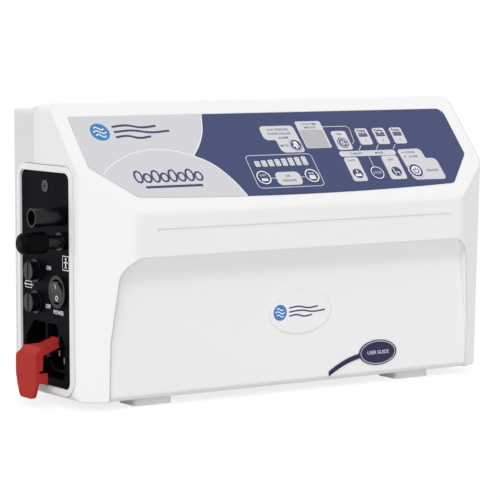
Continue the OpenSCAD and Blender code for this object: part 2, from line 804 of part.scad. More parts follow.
module help_label() {
    // The tail leaves the oval's left end and falls in a curve to the casing's foot
    tail_top = [LABEL_AT[0] - label_w / 2 + 3, LABEL_AT[1] - 1];
    tail_foot = [LABEL_AT[0] - label_w / 2 - 26, foot_h + 4.5];
    steps = 8;
    fall = tail_foot - tail_top;
    function tail_at(t) = tail_top + [fall.x * t, fall.y * t * (0.35 + 0.65 * t)];
    color("#2b2d5b") place() along_y(recess_d - label_t, recess_d) union() {
        polygon(ellipse_points(LABEL_AT, [label_w, label_h]));
        polygon(concat(
            [for (i = [0:steps]) tail_at(i / steps) + [0, tail_w / 2]],
            [for (i = [steps:-1:0]) tail_at(i / steps) - [0, tail_w / 2]]
        ));
    }
}

module feet() {
    color("#e0dcd9") place() for (x = [-foot_x, foot_x], y = [front_foot_y, rear_foot_y])
        translate([x, y, 0]) {
        along_z(0, foot_h) polygon(rounded(centred_points([0, 0], foot_size), 3));
        rod(foot_peg_r, foot_h, floor_z - seat_gap);
    }
}

// Nozzle with a stub behind the plate for the inner tube
module nozzle(r, reach, nozzle_wall, flange_r) {
    bore = r - nozzle_wall;
    neck = r - 0.2;
    flange_z = -plate_t - nozzle_flange_t;
    rotate_extrude() polygon([
        [bore, -plate_t], [nozzle_tail_bore_r, -plate_t - 3], [nozzle_tail_bore_r, -nozzle_tail],
        [nozzle_tail_r, -nozzle_tail], [nozzle_tail_r, flange_z], [flange_r, flange_z],
        [flange_r, -plate_t], [neck, -plate_t], [neck, 0], [r, 0], [r, reach], [bore, reach]
    ]);
}
module air_nozzle_short() {
    color("#26262c") place() on_side(SHORT_AT) nozzle(short_nozzle_d / 2, short_nozzle_l, 1.2, 9);
}
module air_nozzle_long() {
    color("#2b2b31") place() on_side(LONG_AT) {
        nozzle(long_nozzle_d / 2, long_nozzle_l, 1.6, 6.1);
        difference() {
            rod(collar_r, 0, collar_l);
            rod(long_nozzle_d / 2 - 0.5, -past, collar_l + past);
        }
    }
}
module nozzle_cap() {
    bore_r = long_nozzle_d / 2 + run_gap;
    round_r = 4;
    rib_count = 16;
    color("#17181c") place() on_side(LONG_AT) difference() {
        rotate_extrude() polygon(concat(
            [[bore_r, cap_x0], [cap_d / 2 - 0.8, cap_x0], [cap_d / 2, cap_x0 + 0.8]],
            arc_between([cap_d / 2 - round_r, cap_end - round_r], [cap_d / 2, cap_end - round_r],
                [cap_d / 2 - round_r, cap_end], 8),
            [[0, cap_end], [0, long_nozzle_l + 0.2], [bore_r, long_nozzle_l + 0.2]]
        ));
        for (i = [0:rib_count - 1]) rotate(i * 360 / rib_count)
            translate([cap_d / 2 - 0.5, -0.4, cap_end - 5.5]) cube([2, 0.8, 8]);
    }
}

module fuse_holders() {
    color("#222329") place() for (f = FUSES_AT) on_side(f) {
        difference() {
            union() {
                rod(fuse_rim_r, 0, fuse_rim_t);
                rod(fuse_barrel_r, -fuse_barrel_l, 0);
            }
            rod(fuse_bore_r, -fuse_barrel_l + 4, fuse_rim_t + past);
        }
        rod(1.6, -fuse_barrel_l - fuse_tail_l, -fuse_barrel_l);
        rod(2, -fuse_barrel_l + 4, -fuse_in - fuse_l - seat_gap);
    }
}
// Screw-in cap with a driver slot and the sleeve that grips the fuse
module fuse_cap() {
    knob_l = 5;
    difference() {
        union() {
            rod(fuse_cap_d / 2, fuse_rim_t + seat_gap, fuse_rim_t + seat_gap + knob_l);
            rod(fuse_bore_r - seat_gap, -fuse_in - fuse_end_l, fuse_rim_t + seat_gap);
        }
        rod(fuse_r + 0.1, -fuse_in - fuse_end_l - past, -fuse_in + 0.1);
        translate([-fuse_cap_d, -0.8, fuse_rim_t + seat_gap + knob_l - 1.6]) cube([2 * fuse_cap_d, 1.6, 3]);
    }
}
module fuse_cap_upper() color("#26272d") place() on_side(FUSES_AT[0]) fuse_cap();
module fuse_cap_lower() color("#26272d") place() on_side(FUSES_AT[1]) fuse_cap();
// Glass fuse with two metal ends
module fuse() {
    rod(fuse_r, -fuse_in - fuse_end_l, -fuse_in);
    rod(fuse_r - 0.15, -fuse_in - fuse_l + fuse_end_l, -fuse_in - fuse_end_l);
    rod(fuse_r, -fuse_in - fuse_l, -fuse_in - fuse_l + fuse_end_l);
}
module fuse_upper() color("#cfd3d6") place() on_side(FUSES_AT[0]) fuse();
module fuse_lower() color("#cfd3d6") place() on_side(FUSES_AT[1]) fuse();

module switch_housing() {
    color("#202127") place() on_side(SWITCH_AT) {
        difference() {
            union() {
                rod(switch_d / 2, 0, switch_rim_t);
                rod(switch_body_r, -switch_body_l, 0);
            }
            rod(switch_well_r, switch_rim_t - switch_well_d - 4, switch_rim_t + past);
            translate([0, 0, -rocker_axis]) rotate([90, 0, 0])
                rod(rocker_pin_r + run_gap, -switch_body_r + 0.4, switch_body_r - 0.4);
        }
        for (x = [-switch_tail_x, switch_tail_x]) along_z(-switch_body_l - switch_tail_l, -switch_body_l)
            polygon(centred_points([x, 0], [4.8, 0.8]));
    }
}
module switch_rocker() {
    // The drum turns on its own axis; its two flat faces meet in a shallow dish
    color("#2a2b31") place() on_side(SWITCH_AT, -rocker_axis) rotate([0, -rocker_swing / 2, 0]) {
        difference() {
            intersection() {
                rotate([90, 0, 0]) rod(rocker_r, -rocker_r, rocker_r);
                rod(rocker_r - 0.3, -rocker_r, rocker_r);
            }
            for (s = [-1, 1]) translate([0, 0, 4.2]) rotate([0, -s * rocker_swing / 2, 0])
                translate([s > 0 ? 0 : -12, -12, 0]) cube([12, 24, 8]);
            translate([-12, -12, -16]) cube([24, 24, 12]);
        }
        rotate([90, 0, 0]) rod(rocker_pin_r, -switch_body_r + 0.8, switch_body_r - 0.8);
    }
}

// Inlet outlines about its centre
inlet_body = [27.2, 20];
inlet_flange = [49, 23];
inlet_well = [24.2, 16.2];
inlet_screw_x = 20;
inlet_rim = 5.5;
function inlet_body_outline(g) = rounded(centred_points(INLET_AT, inlet_body + [2 * g, 2 * g]), 1);
module mains_inlet() {
    color("#191a1f") place() difference() {
        union() {
            along_x(pocket_floor - plate_t, pocket_floor)
                polygon(rounded(centred_points(INLET_AT, inlet_flange), 4));
            along_x(pocket_floor - inlet_rim, pocket_floor + 20) polygon(inlet_body_outline(0));
        }
        along_x(pocket_floor - inlet_rim - past, pocket_floor + 12) polygon(rounded([
            INLET_AT + [-inlet_well.x / 2, -inlet_well.y / 2 + 4.5],
            INLET_AT + [-inlet_well.x / 2 + 4.5, -inlet_well.y / 2],
            INLET_AT + [inlet_well.x / 2 - 4.5, -inlet_well.y / 2],
            INLET_AT + [inlet_well.x / 2, -inlet_well.y / 2 + 4.5],
            INLET_AT + [inlet_well.x / 2, inlet_well.y / 2],
            INLET_AT + [-inlet_well.x / 2, inlet_well.y / 2]
        ], 0.8));
        at_inlet_screws() rod(screw_r + 0.1, -past, plate_t + past);
        for (p = INLET_PINS) along_x(pocket_floor, pocket_floor + 30)
            polygon(centred_points(INLET_AT + p, [inlet_pin.x, inlet_pin.y]));
    }
}
inlet_pin = [2, 4];
inlet_tail_l = 27;
INLET_PINS = [[-7, 1.8], [7, 1.8], [0, -2.4]];
module inlet_pins() {
    color("#c9b98a") place() for (p = INLET_PINS) along_x(pocket_floor - 2.5, pocket_floor + inlet_tail_l)
        polygon(centred_points(INLET_AT + p, inlet_pin));
}
module inlet_screws() {
    color("silver") place() at_inlet_screws() difference() {
        union() {
            rod(2.7, plate_t, plate_t + 1.6);
            rod(screw_r, -plate_t - 2, plate_t);
        }
        translate([-3, -0.4, plate_t + 0.9]) cube([6, 0.8, 2]);
    }
}

module lead_clip() {
    // Front plate, tapered and rounded at its foot, on an arm that narrows into the pocket
    y0 = clip_y;
    y1 = clip_y + clip_w;
    y_arm = clip_y + clip_arm_w;
    back = clip_face + clip_t;
    taper = 5;
    flange_l = 3.2;
    flange_h = 11;
    tab_l = 6.4;
    tab_h = 6.8;
    arm_t = 3;
    arm_rise = 4;
    barrel_r = 2.8;
    color("#b8323a") place() difference() {
        union() {
            along_x(clip_face, back) polygon(rounded([
                [y0 + taper, clip_foot], [y1 - taper, clip_foot], [y1, clip_foot + 15],
                [y1, clip_top], [y0, clip_top], [y0, clip_foot + 11]
            ], [5, 5, 8, 4, 1, 3]));
            intersection() {
                along_y(y0, y1) polygon(rounded([
                    [clip_face, clip_top - arm_t], [pivot_x, pivot_z - barrel_r + 0.8],
                    [pivot_x, pivot_z + barrel_r - 0.3], [clip_face + arm_rise, clip_top + arm_rise],
                    [clip_face, clip_top]
                ], [0, 0, 0, 3, 1.2]));
                along_z(clip_foot, pivot_z + 2 * barrel_r) polygon([
                    [clip_face - past, y0], [pivot_x + past, y0], [pivot_x + past, y_arm],
                    [pivot_x - 10, y_arm], [clip_face + arm_rise, y1 - 4], [clip_face - past, y1 - 4]
                ]);
            }
            along_y(y0, y0 + clip_t) {
                polygon([
                    [back - 0.5, clip_top - 2.5], [back + flange_l, clip_top - 0.5],
                    [back + flange_l - 0.6, clip_top - flange_h], [back - 0.5, clip_top - flange_h]
                ]);
                translate([back - 0.5, clip_foot + 10.5]) square([tab_l + 0.5, tab_h]);
            }
            along_y(y0, y_arm) translate([pivot_x, pivot_z]) circle(r = barrel_r);
        }
        along_y(y0 - past, y1 + past) translate([pivot_x, pivot_z]) circle(r = clip_pin_r + run_gap);
    }
}
module clip_pin() {
    color("silver") place() along_y(clip_y - lug_t - seat_gap, clip_y + clip_arm_w + lug_t + seat_gap)
        translate([pivot_x, pivot_z]) circle(r = clip_pin_r);
}

module housing_screws() {
    head_y = body_d - screw_sink;
    color("#8c8f94") place() at_posts() {
        difference() {
            rod(screw_head_r, head_y, head_y + screw_head_h);
            for (a = [0, 90]) rotate(a)
                translate([-1.8, -0.35, head_y + 0.8]) cube([3.6, 0.7, screw_head_h]);
        }
        rod(screw_r, split_y - screw_bite, head_y);
    }
}

// Flat hook on an upright hinge barrel, folded against the rear wall; side is -1 or 1
module bed_hook(side) {
    x1 = hook_reach;
    leg = hook_reach - hook_lip_w - hook_gap;
    turned = side > 0 ? 1 : 0;
    place() translate([side * hook_x, hook_axis_y, hook_top - hook_h]) mirror([turned, 0, 0]) difference() {
        union() {
            cylinder(r = knuckle_r - 0.3, h = hook_h);
            along_y(-hook_t / 2, hook_t / 2) polygon(rounded([
                [0, 0], [leg, 0], [leg, hook_h - hook_arm_h], [x1 - hook_lip_w, hook_h - hook_arm_h],
                [x1 - hook_lip_w, 2], [x1, 2], [x1, hook_h], [0, hook_h]
            ], [0, 3, 5, 5, 4, 5, 12, 0]));
        }
        translate([0, 0, -past]) cylinder(r = hook_pin_r + run_gap, h = hook_h + 2 * past);
    }
}
module bed_hook_left() color("#d9d8da") bed_hook(-1);
module bed_hook_right() color("#d9d8da") bed_hook(1);
// Hinge axis frames: children stand at the foot of each hook's axis
module at_hooks() for (x = [-hook_x, hook_x]) translate([x, hook_axis_y, 0]) children();
module hook_pins() color("silver") place() at_hooks() rod(hook_pin_r, bracket_foot + blind_t, bracket_top);
// Bracket of each hook: a strip on the rear wall with a lug above and below the hook's barrel
module hook_brackets() {
    back = body_d - hook_axis_y;
    color("#dedddf") place() {
        at_hooks() difference() {
            union() {
                along_z(bracket_foot, bracket_top)
                    polygon(box_points([-knuckle_r, back], [2 * knuckle_r, bracket_strip_t]));
                for (z = [bracket_foot, bracket_top - lug_h]) along_z(z, z + lug_h) {
                    circle(r = knuckle_r);
                    polygon(box_points([-knuckle_r, back], [2 * knuckle_r, -back]));
                }
            }
            rod(hook_pin_r + run_gap, bracket_foot + blind_t, bracket_top + past);
        }
        at_hook_pegs() rod(hook_peg_r, body_d - wall - 1.5, body_d);
    }
}
// Frames of the pegs that hold the brackets in the rear wall, their Z to the back
module at_hook_pegs() for (x = [-hook_x, hook_x], z = [-15, 15])
    translate([x, 0, hook_top - hook_h / 2 + z]) rotate([-90, 0, 0]) children();

module filter_foam() {
    color("#4a4d52") place() along_y(foam_y, foam_y + foam_t) filter_outline(-seat_gap, 1);
}
module filter_cover() {
    louvre_count = 7;
    louvre_pitch = 5;
    color("#dcdbdd") place() {
        along_y(body_d - filter_cover_t, body_d) difference() {
            filter_outline(filter_rim, 1.8);
            for (i = [0:louvre_count - 1])
                translate([0, (i - (louvre_count - 1) / 2) * louvre_pitch])
                    polygon(centred_points(FILTER_AT, [52, 2]));
        }
        along_y(foam_y + foam_t + 0.2, body_d - filter_cover_t) difference() {
            filter_outline(-seat_gap, 1);
            filter_outline(-2, 1);
        }
    }
}

// Compressor frame: base, two end plates and the rails under the magnet cores
inner_x0 = comp_x + head_l + diaphragm_t;
inner_x1 = comp_x + comp_len - head_l - diaphragm_t;
comp_mid = comp_x + comp_len / 2;
base_z = floor_z + mount_h;
module compressor_frame() {
    low = [comp_y - frame_side / 2, base_z];
    color("#a7aab0") place() difference() {
        union() {
            along_x(inner_x0, inner_x1) polygon(box_points(low, [frame_side, base_t]));
            for (x = [inner_x0, inner_x1 - end_plate_t]) along_x(x, x + end_plate_t)
                polygon(rounded(box_points(low, [frame_side, comp_z - base_z + frame_side / 2]), 3));
            translate([comp_mid, comp_y]) along_z(base_z, comp_z - core_h / 2)
                for (s = [-1, 1], e = [-1, 1])
                    polygon(centred_points([e * (core_l - rail_w) / 2, s * core_y], [rail_w, core_d]));
        }
        along_x(inner_x0 - past, inner_x1 + past) translate([comp_y, comp_z]) circle(r = clamp_r + 2);
    }
}
// Middle of the compressor between its two magnets
module at_magnet_middle() translate([comp_mid, comp_y, comp_z]) children();
module coil_cores() {
    color("#5c6068") place() at_magnet_middle() for (s = [-1, 1])
        translate([0, s * core_y, 0]) difference() {
        along_z(-core_h / 2, core_h / 2) polygon(centred_points([0, 0], [core_l, core_d]));
        for (x = [-1, 1]) along_z(-core_h, core_h)
            polygon(centred_points([x * slot_x, -s * core_back], [slot_w, core_d]));
    }
}
module coil_windings() {
    turn_w = slot_w - 2 * seat_gap;
    turn_d = core_d - core_back - 2 * seat_gap;
    turn_y = core_y - core_back / 2;
    color("#b4642c") place() at_magnet_middle() for (y = [-turn_y, turn_y])
        translate([0, y, 0]) difference() {
        along_z(-core_h / 2 - winding_head, core_h / 2 + winding_head)
            polygon(rounded(centred_points([0, 0], [2 * slot_x + turn_w, turn_d]), 2));
        along_y(-core_d, core_d)
            polygon(centred_points([0, 0], [2 * slot_x - turn_w, core_h + 2 * seat_gap]));
    }
}
module armature() {
    // Clamp discs on both sides of each diaphragm, the stroke away from it
    clamp_t = 2;
    outer = comp_len / 2 - head_l + stroke + seat_gap;
    inner = comp_len / 2 - head_l - diaphragm_t - stroke - seat_gap;
    color("#7d828a") place() {
        at_magnet_middle() cube([arm_l, arm_w, arm_h], center = true);
        at_magnet_middle() for (s = [-1, 1]) rotate([0, s * 90, 0]) {
            rod(rod_r, arm_l / 2 - past, outer + clamp_t + 0.7);
            rod(clamp_r, outer, outer + clamp_t);
            rod(clamp_r, inner - clamp_t, inner);
        }
    }
}
module diaphragms() {
    color("#2d2e33") place() for (x = [comp_x + head_l, inner_x1]) along_x(x, x + diaphragm_t)
        translate([comp_y, comp_z]) difference() {
            circle(r = head_d / 2 - 1);
            circle(r = rod_r + 0.2);
        }
}
// Spigot places on top of each head: one draws air in, one delivers it
head_spigot_x = 8;
module compressor_heads() {
    head_top = head_d / 2 + spigot_l;
    outer = -comp_len / 2;
    room_l = 9;
    color("#3a3c42") place() at_magnet_middle() for (m = [0, 1]) mirror([m, 0, 0]) difference() {
        union() {
            along_x(outer, outer + head_l) circle(r = head_d / 2);
            for (y = [-spigot_y, spigot_y]) translate([outer + head_spigot_x, y, 0])
                rod(spigot_r, 12, head_top);
        }
        along_x(outer + head_l - room_l, outer + head_l + past) circle(r = head_d / 2 - 7);
        for (y = [-spigot_y, spigot_y]) translate([outer + head_spigot_x, y, 0])
            rod(spigot_bore_r, 8, head_top + past);
    }
}
module rubber_mounts() {
    disc_t = 3;
    color("#26272b") place() for (x = [inner_x0 + 9, inner_x1 - 9], y = [-mount_y, mount_y])
        translate([x, comp_y + y, floor_z]) {
            rod(6, 0, disc_t);
            rod(4.5, disc_t, mount_h - disc_t);
            rod(6, mount_h - disc_t, mount_h);
        }
}

module valve_motor() {
    color("#9a9da3") place() translate([valve_x, valve_y, floor_z]) {
        difference() {
            rod(valve_d / 2, valve_leg_h, valve_leg_h + motor_h);
            rod(shaft_r + run_gap, valve_leg_h + 6, valve_leg_h + motor_h + past);
        }
        for (a = [45:90:315]) rotate(a) translate([valve_d / 2 - 6, 0, 0]) rod(3.5, 0, valve_leg_h);
    }
}
module valve_body() {
    z1 = valve_base_z + valve_flange_t;
    z2 = z1 + valve_room_h;
    top = valve_spigot_z + spigot_l;
    color("#c6c3b8") place() difference() {
        union() {
            translate([valve_x, valve_y, 0]) {
                rod(valve_d / 2, valve_base_z, z1);
                rod(valve_r, z1, z2 + valve_lid_t);
            }
            for (p = VALVE_PORTS) translate([p.x, p.y, 0]) rod(spigot_r, z2 + 1, top);
        }
        translate([valve_x, valve_y, 0]) {
            rod(shaft_r + run_gap, valve_base_z - past, z1 + past);
            rod(valve_room_r, z1, z2);
        }
        for (p = VALVE_PORTS) translate([p.x, p.y, 0]) rod(spigot_bore_r, z2 - past, top + past);
    }
}
module valve_rotor() {
    z1 = valve_base_z + valve_flange_t;
    color("#d8d2c0") place() translate([valve_x, valve_y, 0]) difference() {
        union() {
            rod(shaft_r, valve_base_z - motor_h + 8, z1 + 1);
            rod(valve_room_r - 1.5, z1 + seat_gap, z1 + valve_room_h - seat_gap);
        }
        for (a = [0, 120, 240]) rotate(a) translate([12, 0, 0]) rod(3, z1 - past, z1 + valve_room_h + past);
    }
}

// Routes of the inner tubes: nozzle to valve, and valve to each compressor head
tube_bend = 9;
tube_start = plate_x + plate_t + nozzle_flange_t + 2;
function nozzle_route(at, port) = [
    [tube_start, at[0], at[1]],
    [port.x, at[0], at[1]],
    [port.x, port.y, valve_spigot_z + 1]
];
function head_route(port, x, level) = [
    [port.x, port.y, valve_spigot_z + 1],
    [port.x, port.y, level],
    [x, port.y, level],
    [x, port.y, comp_z + head_d / 2 + 1]
];
TUBES = [
    nozzle_route(SHORT_AT, VALVE_PORTS[0]),
    nozzle_route(LONG_AT, VALVE_PORTS[1]),
    head_route(VALVE_PORTS[2], comp_x + head_spigot_x, plate_top - 53),
    head_route(VALVE_PORTS[3], comp_x + comp_len - head_spigot_x, plate_top - 37)
];
module air_tubes() {
    color("#e4e6e2") place() for (t = TUBES) swept(t, tube_bend) difference() {
        circle(d = tube_d);
        circle(d = tube_bore);
    }
}

module main_board() {
    low = [MAIN_BOARD_X[0], MAIN_BOARD_Z[0]];
    color("#2f6b45") place() along_y(main_board_y, main_board_y + board_t)
        polygon(box_points(low, [MAIN_BOARD_X[1], MAIN_BOARD_Z[1]] - low));
}
// Blocks on the main board: across, up, width, height, depth; and cans: across, up, radius, depth
BLOCKS = [
    [6, 8, 30, 26, 24], [44, 10, 20, 16, 15], [8, 44, 22, 8, 12], [40, 34, 14, 10, 3], [40, 52, 26, 12, 9]
];
CANS = [[16, 62, 6, 18], [31, 62, 5, 12], [68, 40, 5, 14]];
module board_parts() {
    low = [MAIN_BOARD_X[0], MAIN_BOARD_Z[0]];
    color("#3b4a8a") place() {
        for (b = BLOCKS) along_y(main_board_y - b[4], main_board_y)
            polygon(box_points(low + [b[0], b[1]], [b[2], b[3]]));
        for (c = CANS) along_y(main_board_y - c[3], main_board_y)
            translate(low + [c[0], c[1]]) circle(r = c[2]);
    }
}
module display_board() {
    low = [BOARD_X[0], -BOARD_V[1]];
    color("#2f6b45") place() on_console([0, 0], -board_lift - board_t) difference() {
        linear_extrude(board_t) polygon(box_points(low, [BOARD_X[1], -BOARD_V[0]] - low));
        for (s = STAKES) translate([s.x, -s.y, 0]) rod(stake_pin_r + 0.1, -past, board_t + past);
    }
}
// Key switches, lamps and the display block, all standing on the display board
module display_parts() {
    color("#c9c9c4") place() {
        for (key = KEYS) on_console(key[0]) {
            translate([-3, -3, -board_lift]) cube([6, 6, 2.4]);
            rod(1.7, -board_lift + 2.4, -stem_end - key_travel - 0.3);
        }
        on_console(PLUG_AT, -plug_lift) linear_extrude(plug_lift - board_lift - board_t)
            polygon(centred_points([0, 0], [10, 6]));
        on_console(WINDOW_AT, -board_lift) linear_extrude(board_lift - overlay_t - 0.2)
            polygon(centred_points([0, 0], window_size - [2.2, 2.2]));
        for (i = [0:lamp_count - 1]) {
            middle = (LAMP_AT[1] - i * lamp_step + lamp_foot) / 2;
            on_console([LAMP_AT[0] + i * lamp_pitch, middle], -board_lift)
                linear_extrude(board_lift - lamp_sink - 0.2) polygon(centred_points([0, 0], [2.4, 3.6]));
        }
    }
}

// Leads, as points: inlet to switch, switch to upper fuse, inlet to lower fuse,
// main board to coils, main board to valve motor, main board to display board
lead_r = 1.1;
lead_bend = 2.5;
switch_tail = plate_x + switch_body_l + switch_tail_l;
fuse_tail = plate_x + fuse_barrel_l + fuse_tail_l;
inlet_tail = pocket_floor + inlet_tail_l;
LIVE_PIN = INLET_AT + INLET_PINS[0];
NEUTRAL_PIN = INLET_AT + INLET_PINS[1];
SWITCH_LOW = SWITCH_AT - [0, switch_tail_x];
SWITCH_HIGH = SWITCH_AT + [0, switch_tail_x];
WINDING_TOP = [comp_mid - slot_x, comp_y + core_y - core_back / 2, comp_z + core_h / 2 + winding_head];
BOARD_PLUG = [MAIN_BOARD_X[1] - 8, MAIN_BOARD_Z[0] + 4];
DISPLAY_PLUG = [MAIN_BOARD_X[1] - 5, MAIN_BOARD_Z[1] - 8];
PLUG_AT = [BOARD_X[0] + 12, 50];
plug_lift = board_lift + board_t + 5;
// Point on the console's frame: across, down the slope, into the casing
function under_console(at, depth) = [
    at.x,
    top_edge_y - at.y * cos(console_deg) + depth * sin(console_deg),
    pump_h - at.y * sin(console_deg) - depth * cos(console_deg)
];
// Point on the plane X = x from a place on the side panel
function behind(at, x) = [x, at[0], at[1]];
PLUG_END = under_console(PLUG_AT, plug_lift) + [0, lead_r, 0];
LEADS = [
    [
        behind(LIVE_PIN, inlet_tail), behind(LIVE_PIN, inlet_tail + 8),
        behind([LIVE_PIN[0], SWITCH_LOW[1]], inlet_tail + 8), behind(SWITCH_LOW, inlet_tail + 8),
        behind(SWITCH_LOW, switch_tail)
    ],
    [
        behind(SWITCH_HIGH, switch_tail), behind(SWITCH_HIGH, fuse_tail + 7),
        behind([FUSES_AT[0][0], SWITCH_HIGH[1]], fuse_tail + 7), behind(FUSES_AT[0], fuse_tail + 7),
        behind(FUSES_AT[0], fuse_tail)
    ],
    [
        behind(NEUTRAL_PIN, inlet_tail), behind(NEUTRAL_PIN, inlet_tail + 12),
        behind(NEUTRAL_PIN + [11, 0], inlet_tail + 12),
        behind([NEUTRAL_PIN[0] + 11, FUSES_AT[1][1]], inlet_tail + 12),
        behind(FUSES_AT[1], inlet_tail + 12), behind(FUSES_AT[1], fuse_tail)
    ],
    [
        [BOARD_PLUG[0], main_board_y, BOARD_PLUG[1]], [BOARD_PLUG[0], main_board_y - 10, BOARD_PLUG[1]],
        [WINDING_TOP.x, main_board_y - 10, BOARD_PLUG[1]], [WINDING_TOP.x, WINDING_TOP.y, BOARD_PLUG[1]],
        WINDING_TOP
    ],
    [
        [valve_x, main_board_y, MAIN_BOARD_Z[0] + 3], [valve_x, main_board_y - 12, MAIN_BOARD_Z[0] + 3],
        [valve_x, main_board_y - 12, floor_z + 15], [valve_x, valve_y + valve_d / 2, floor_z + 15]
    ],
    [
        [DISPLAY_PLUG[0], main_board_y, DISPLAY_PLUG[1]],
        [DISPLAY_PLUG[0], main_board_y - 16, DISPLAY_PLUG[1]],
        [PLUG_END.x, main_board_y - 16, DISPLAY_PLUG[1]], [PLUG_END.x, main_board_y - 16, PLUG_END.z],
        PLUG_END
    ]
];
module wiring() {
    color("#7a2f2f") place() for (l = LEADS) swept(l, lead_bend) circle(r = lead_r, $fn = 24);
}

front_shell();
rear_shell();
side_frame();
connector_plate();
plate_screw();
console_overlay();
display_window();
pressure_lamps();
alarm_mute_key();
cycle_time_key();
mode_key_left();
mode_key_centre();
mode_key_right();
static_key();
lock_key();
seat_key();
power_key();
softer_key();
firmer_key();
oval_badge();
help_label();
feet();
air_nozzle_short();
air_nozzle_long();
nozzle_cap();
fuse_holders();
fuse_cap_upper();
fuse_cap_lower();
fuse_upper();
fuse_lower();
switch_housing();
switch_rocker();
mains_inlet();
inlet_pins();
inlet_screws();
lead_clip();
clip_pin();
housing_screws();
bed_hook_left();
bed_hook_right();
hook_pins();
hook_brackets();
filter_foam();
filter_cover();
compressor_frame();
coil_cores();
coil_windings();
armature();
diaphragms();
compressor_heads();
rubber_mounts();
valve_motor();
valve_body();
valve_rotor();
air_tubes();
main_board();
board_parts();
display_board();
display_parts();
wiring();
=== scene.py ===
from math import cos, pi, radians, sin

import bmesh
import bpy
from mathutils import Euler, Matrix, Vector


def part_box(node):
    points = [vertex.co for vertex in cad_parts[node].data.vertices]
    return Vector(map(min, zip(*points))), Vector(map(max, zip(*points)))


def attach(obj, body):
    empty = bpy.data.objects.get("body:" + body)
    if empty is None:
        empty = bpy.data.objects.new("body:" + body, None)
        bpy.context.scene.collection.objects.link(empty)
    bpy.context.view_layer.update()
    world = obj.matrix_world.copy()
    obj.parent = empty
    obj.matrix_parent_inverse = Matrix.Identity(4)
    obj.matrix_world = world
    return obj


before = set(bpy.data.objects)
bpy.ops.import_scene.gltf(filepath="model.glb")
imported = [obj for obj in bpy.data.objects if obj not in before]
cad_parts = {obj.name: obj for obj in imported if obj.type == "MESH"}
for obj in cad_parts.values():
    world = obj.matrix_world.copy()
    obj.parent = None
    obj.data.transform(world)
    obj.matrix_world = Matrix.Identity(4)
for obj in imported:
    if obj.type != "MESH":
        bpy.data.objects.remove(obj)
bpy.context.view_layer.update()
scene = bpy.context.scene


# The view of the photograph: a long lens a metre and a half off the pump's front left
# corner, a little over its middle and looking slightly down. Angles are in degrees.
looks_down = 5.41
looks_right = 33.9
camera = bpy.data.objects.new("camera", bpy.data.cameras.new("camera"))
scene.collection.objects.link(camera)
scene.camera = camera
camera.data.sensor_width = 36
camera.data.lens = 164.35
camera.data.shift_x = -0.00506
camera.data.shift_y = -0.00026
camera.data.clip_start = 0.05
camera.location = (-0.87515, -1.321147, 0.24544)
camera.rotation_euler = Euler((radians(90 - looks_down), 0, radians(-looks_right)))


# Linear compressor: a die cast aluminium frame round two laminated cores with copper
# windings; its armature drives a diaphragm into a glass filled head at either end.
MM = 0.001


def colour(code):
    """Linear colour of an sRGB hex code."""
    parts = [int(code[i:i + 2], 16) / 255 for i in (1, 3, 5)]
    return [p / 12.92 if p < 0.04045 else ((p + 0.055) / 1.055) ** 2.4 for p in parts] + [1]


def shade(code, factor):
    """The same colour, darker or lighter by a factor."""
    return [min(part * factor, 1) for part in colour(code)[:3]] + [1]


def put(tree, kind, sockets=None, **settings):
    """Adds a shader node. A socket takes a value, or the node or output that drives it."""
    node = tree.nodes.new("ShaderNode" + kind)
    for name, value in settings.items():
        setattr(node, name, value)
    for name, value in (sockets or {}).items():
        socket = next(s for s in node.inputs if name in (s.identifier, s.name))
        if isinstance(value, bpy.types.Node):
            value = next(s for s in value.outputs if s.enabled)
        if isinstance(value, bpy.types.NodeSocket):
            tree.links.new(value, socket)
        else:
            socket.default_value = value
    return node


def new_material(name):
    """An empty material, its node tree and the object coordinates in it."""
    material = bpy.data.materials.new(name)
    material.use_nodes = True
    tree = material.node_tree
    tree.nodes.clear()
    return material, tree, put(tree, "TexCoord").outputs["Object"]


def dress(material, *nodes):
    """Gives CAD nodes their material."""
    for node in nodes:
        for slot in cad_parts[node].material_slots:
            slot.material = material


def moulded(name, code, roughness, grain, depth, edge=0.4, ior=1.54, **sockets):
    """Moulded plastic. The pigment is very slightly cloudy, the skin has the mould's spark
    eroded grain, and rubbed places are a little glossier. In mm: the width and depth of the
    grain, and the rounding of the edges."""
    material, tree, at = new_material(name)
    cloud = put(tree, "TexNoise", {"Vector": at, "Scale": 14, "Detail": 3})
    pigment = put(tree, "Mix", {
        "Factor_Float": cloud,
        "A_Color": shade(code, 0.985),
        "B_Color": shade(code, 1.015),
    }, data_type="RGBA")
    grains = put(tree, "TexNoise", {"Vector": at, "Scale": 1000 / grain, "Detail": 1})
    rounded = put(tree, "Bevel", {"Radius": edge * MM}, samples=4)
    skin = put(tree, "Bump", {
        "Strength": 1, "Distance": depth * MM, "Height": grains, "Normal": rounded,
    })
    rubbed = put(tree, "TexNoise", {"Vector": at, "Scale": 40, "Detail": 4})
    dull = put(tree, "MapRange", {
        "Value": rubbed, "From Min": 0.3, "From Max": 0.7,
        "To Min": roughness - 0.04, "To Max": roughness + 0.05,
    })
    shader = put(tree, "BsdfPrincipled", {
        "Base Color": pigment, "Roughness": dull, "Normal": skin, "IOR": ior, **sockets,
    })
    put(tree, "OutputMaterial", {"Surface": shader})
    return material


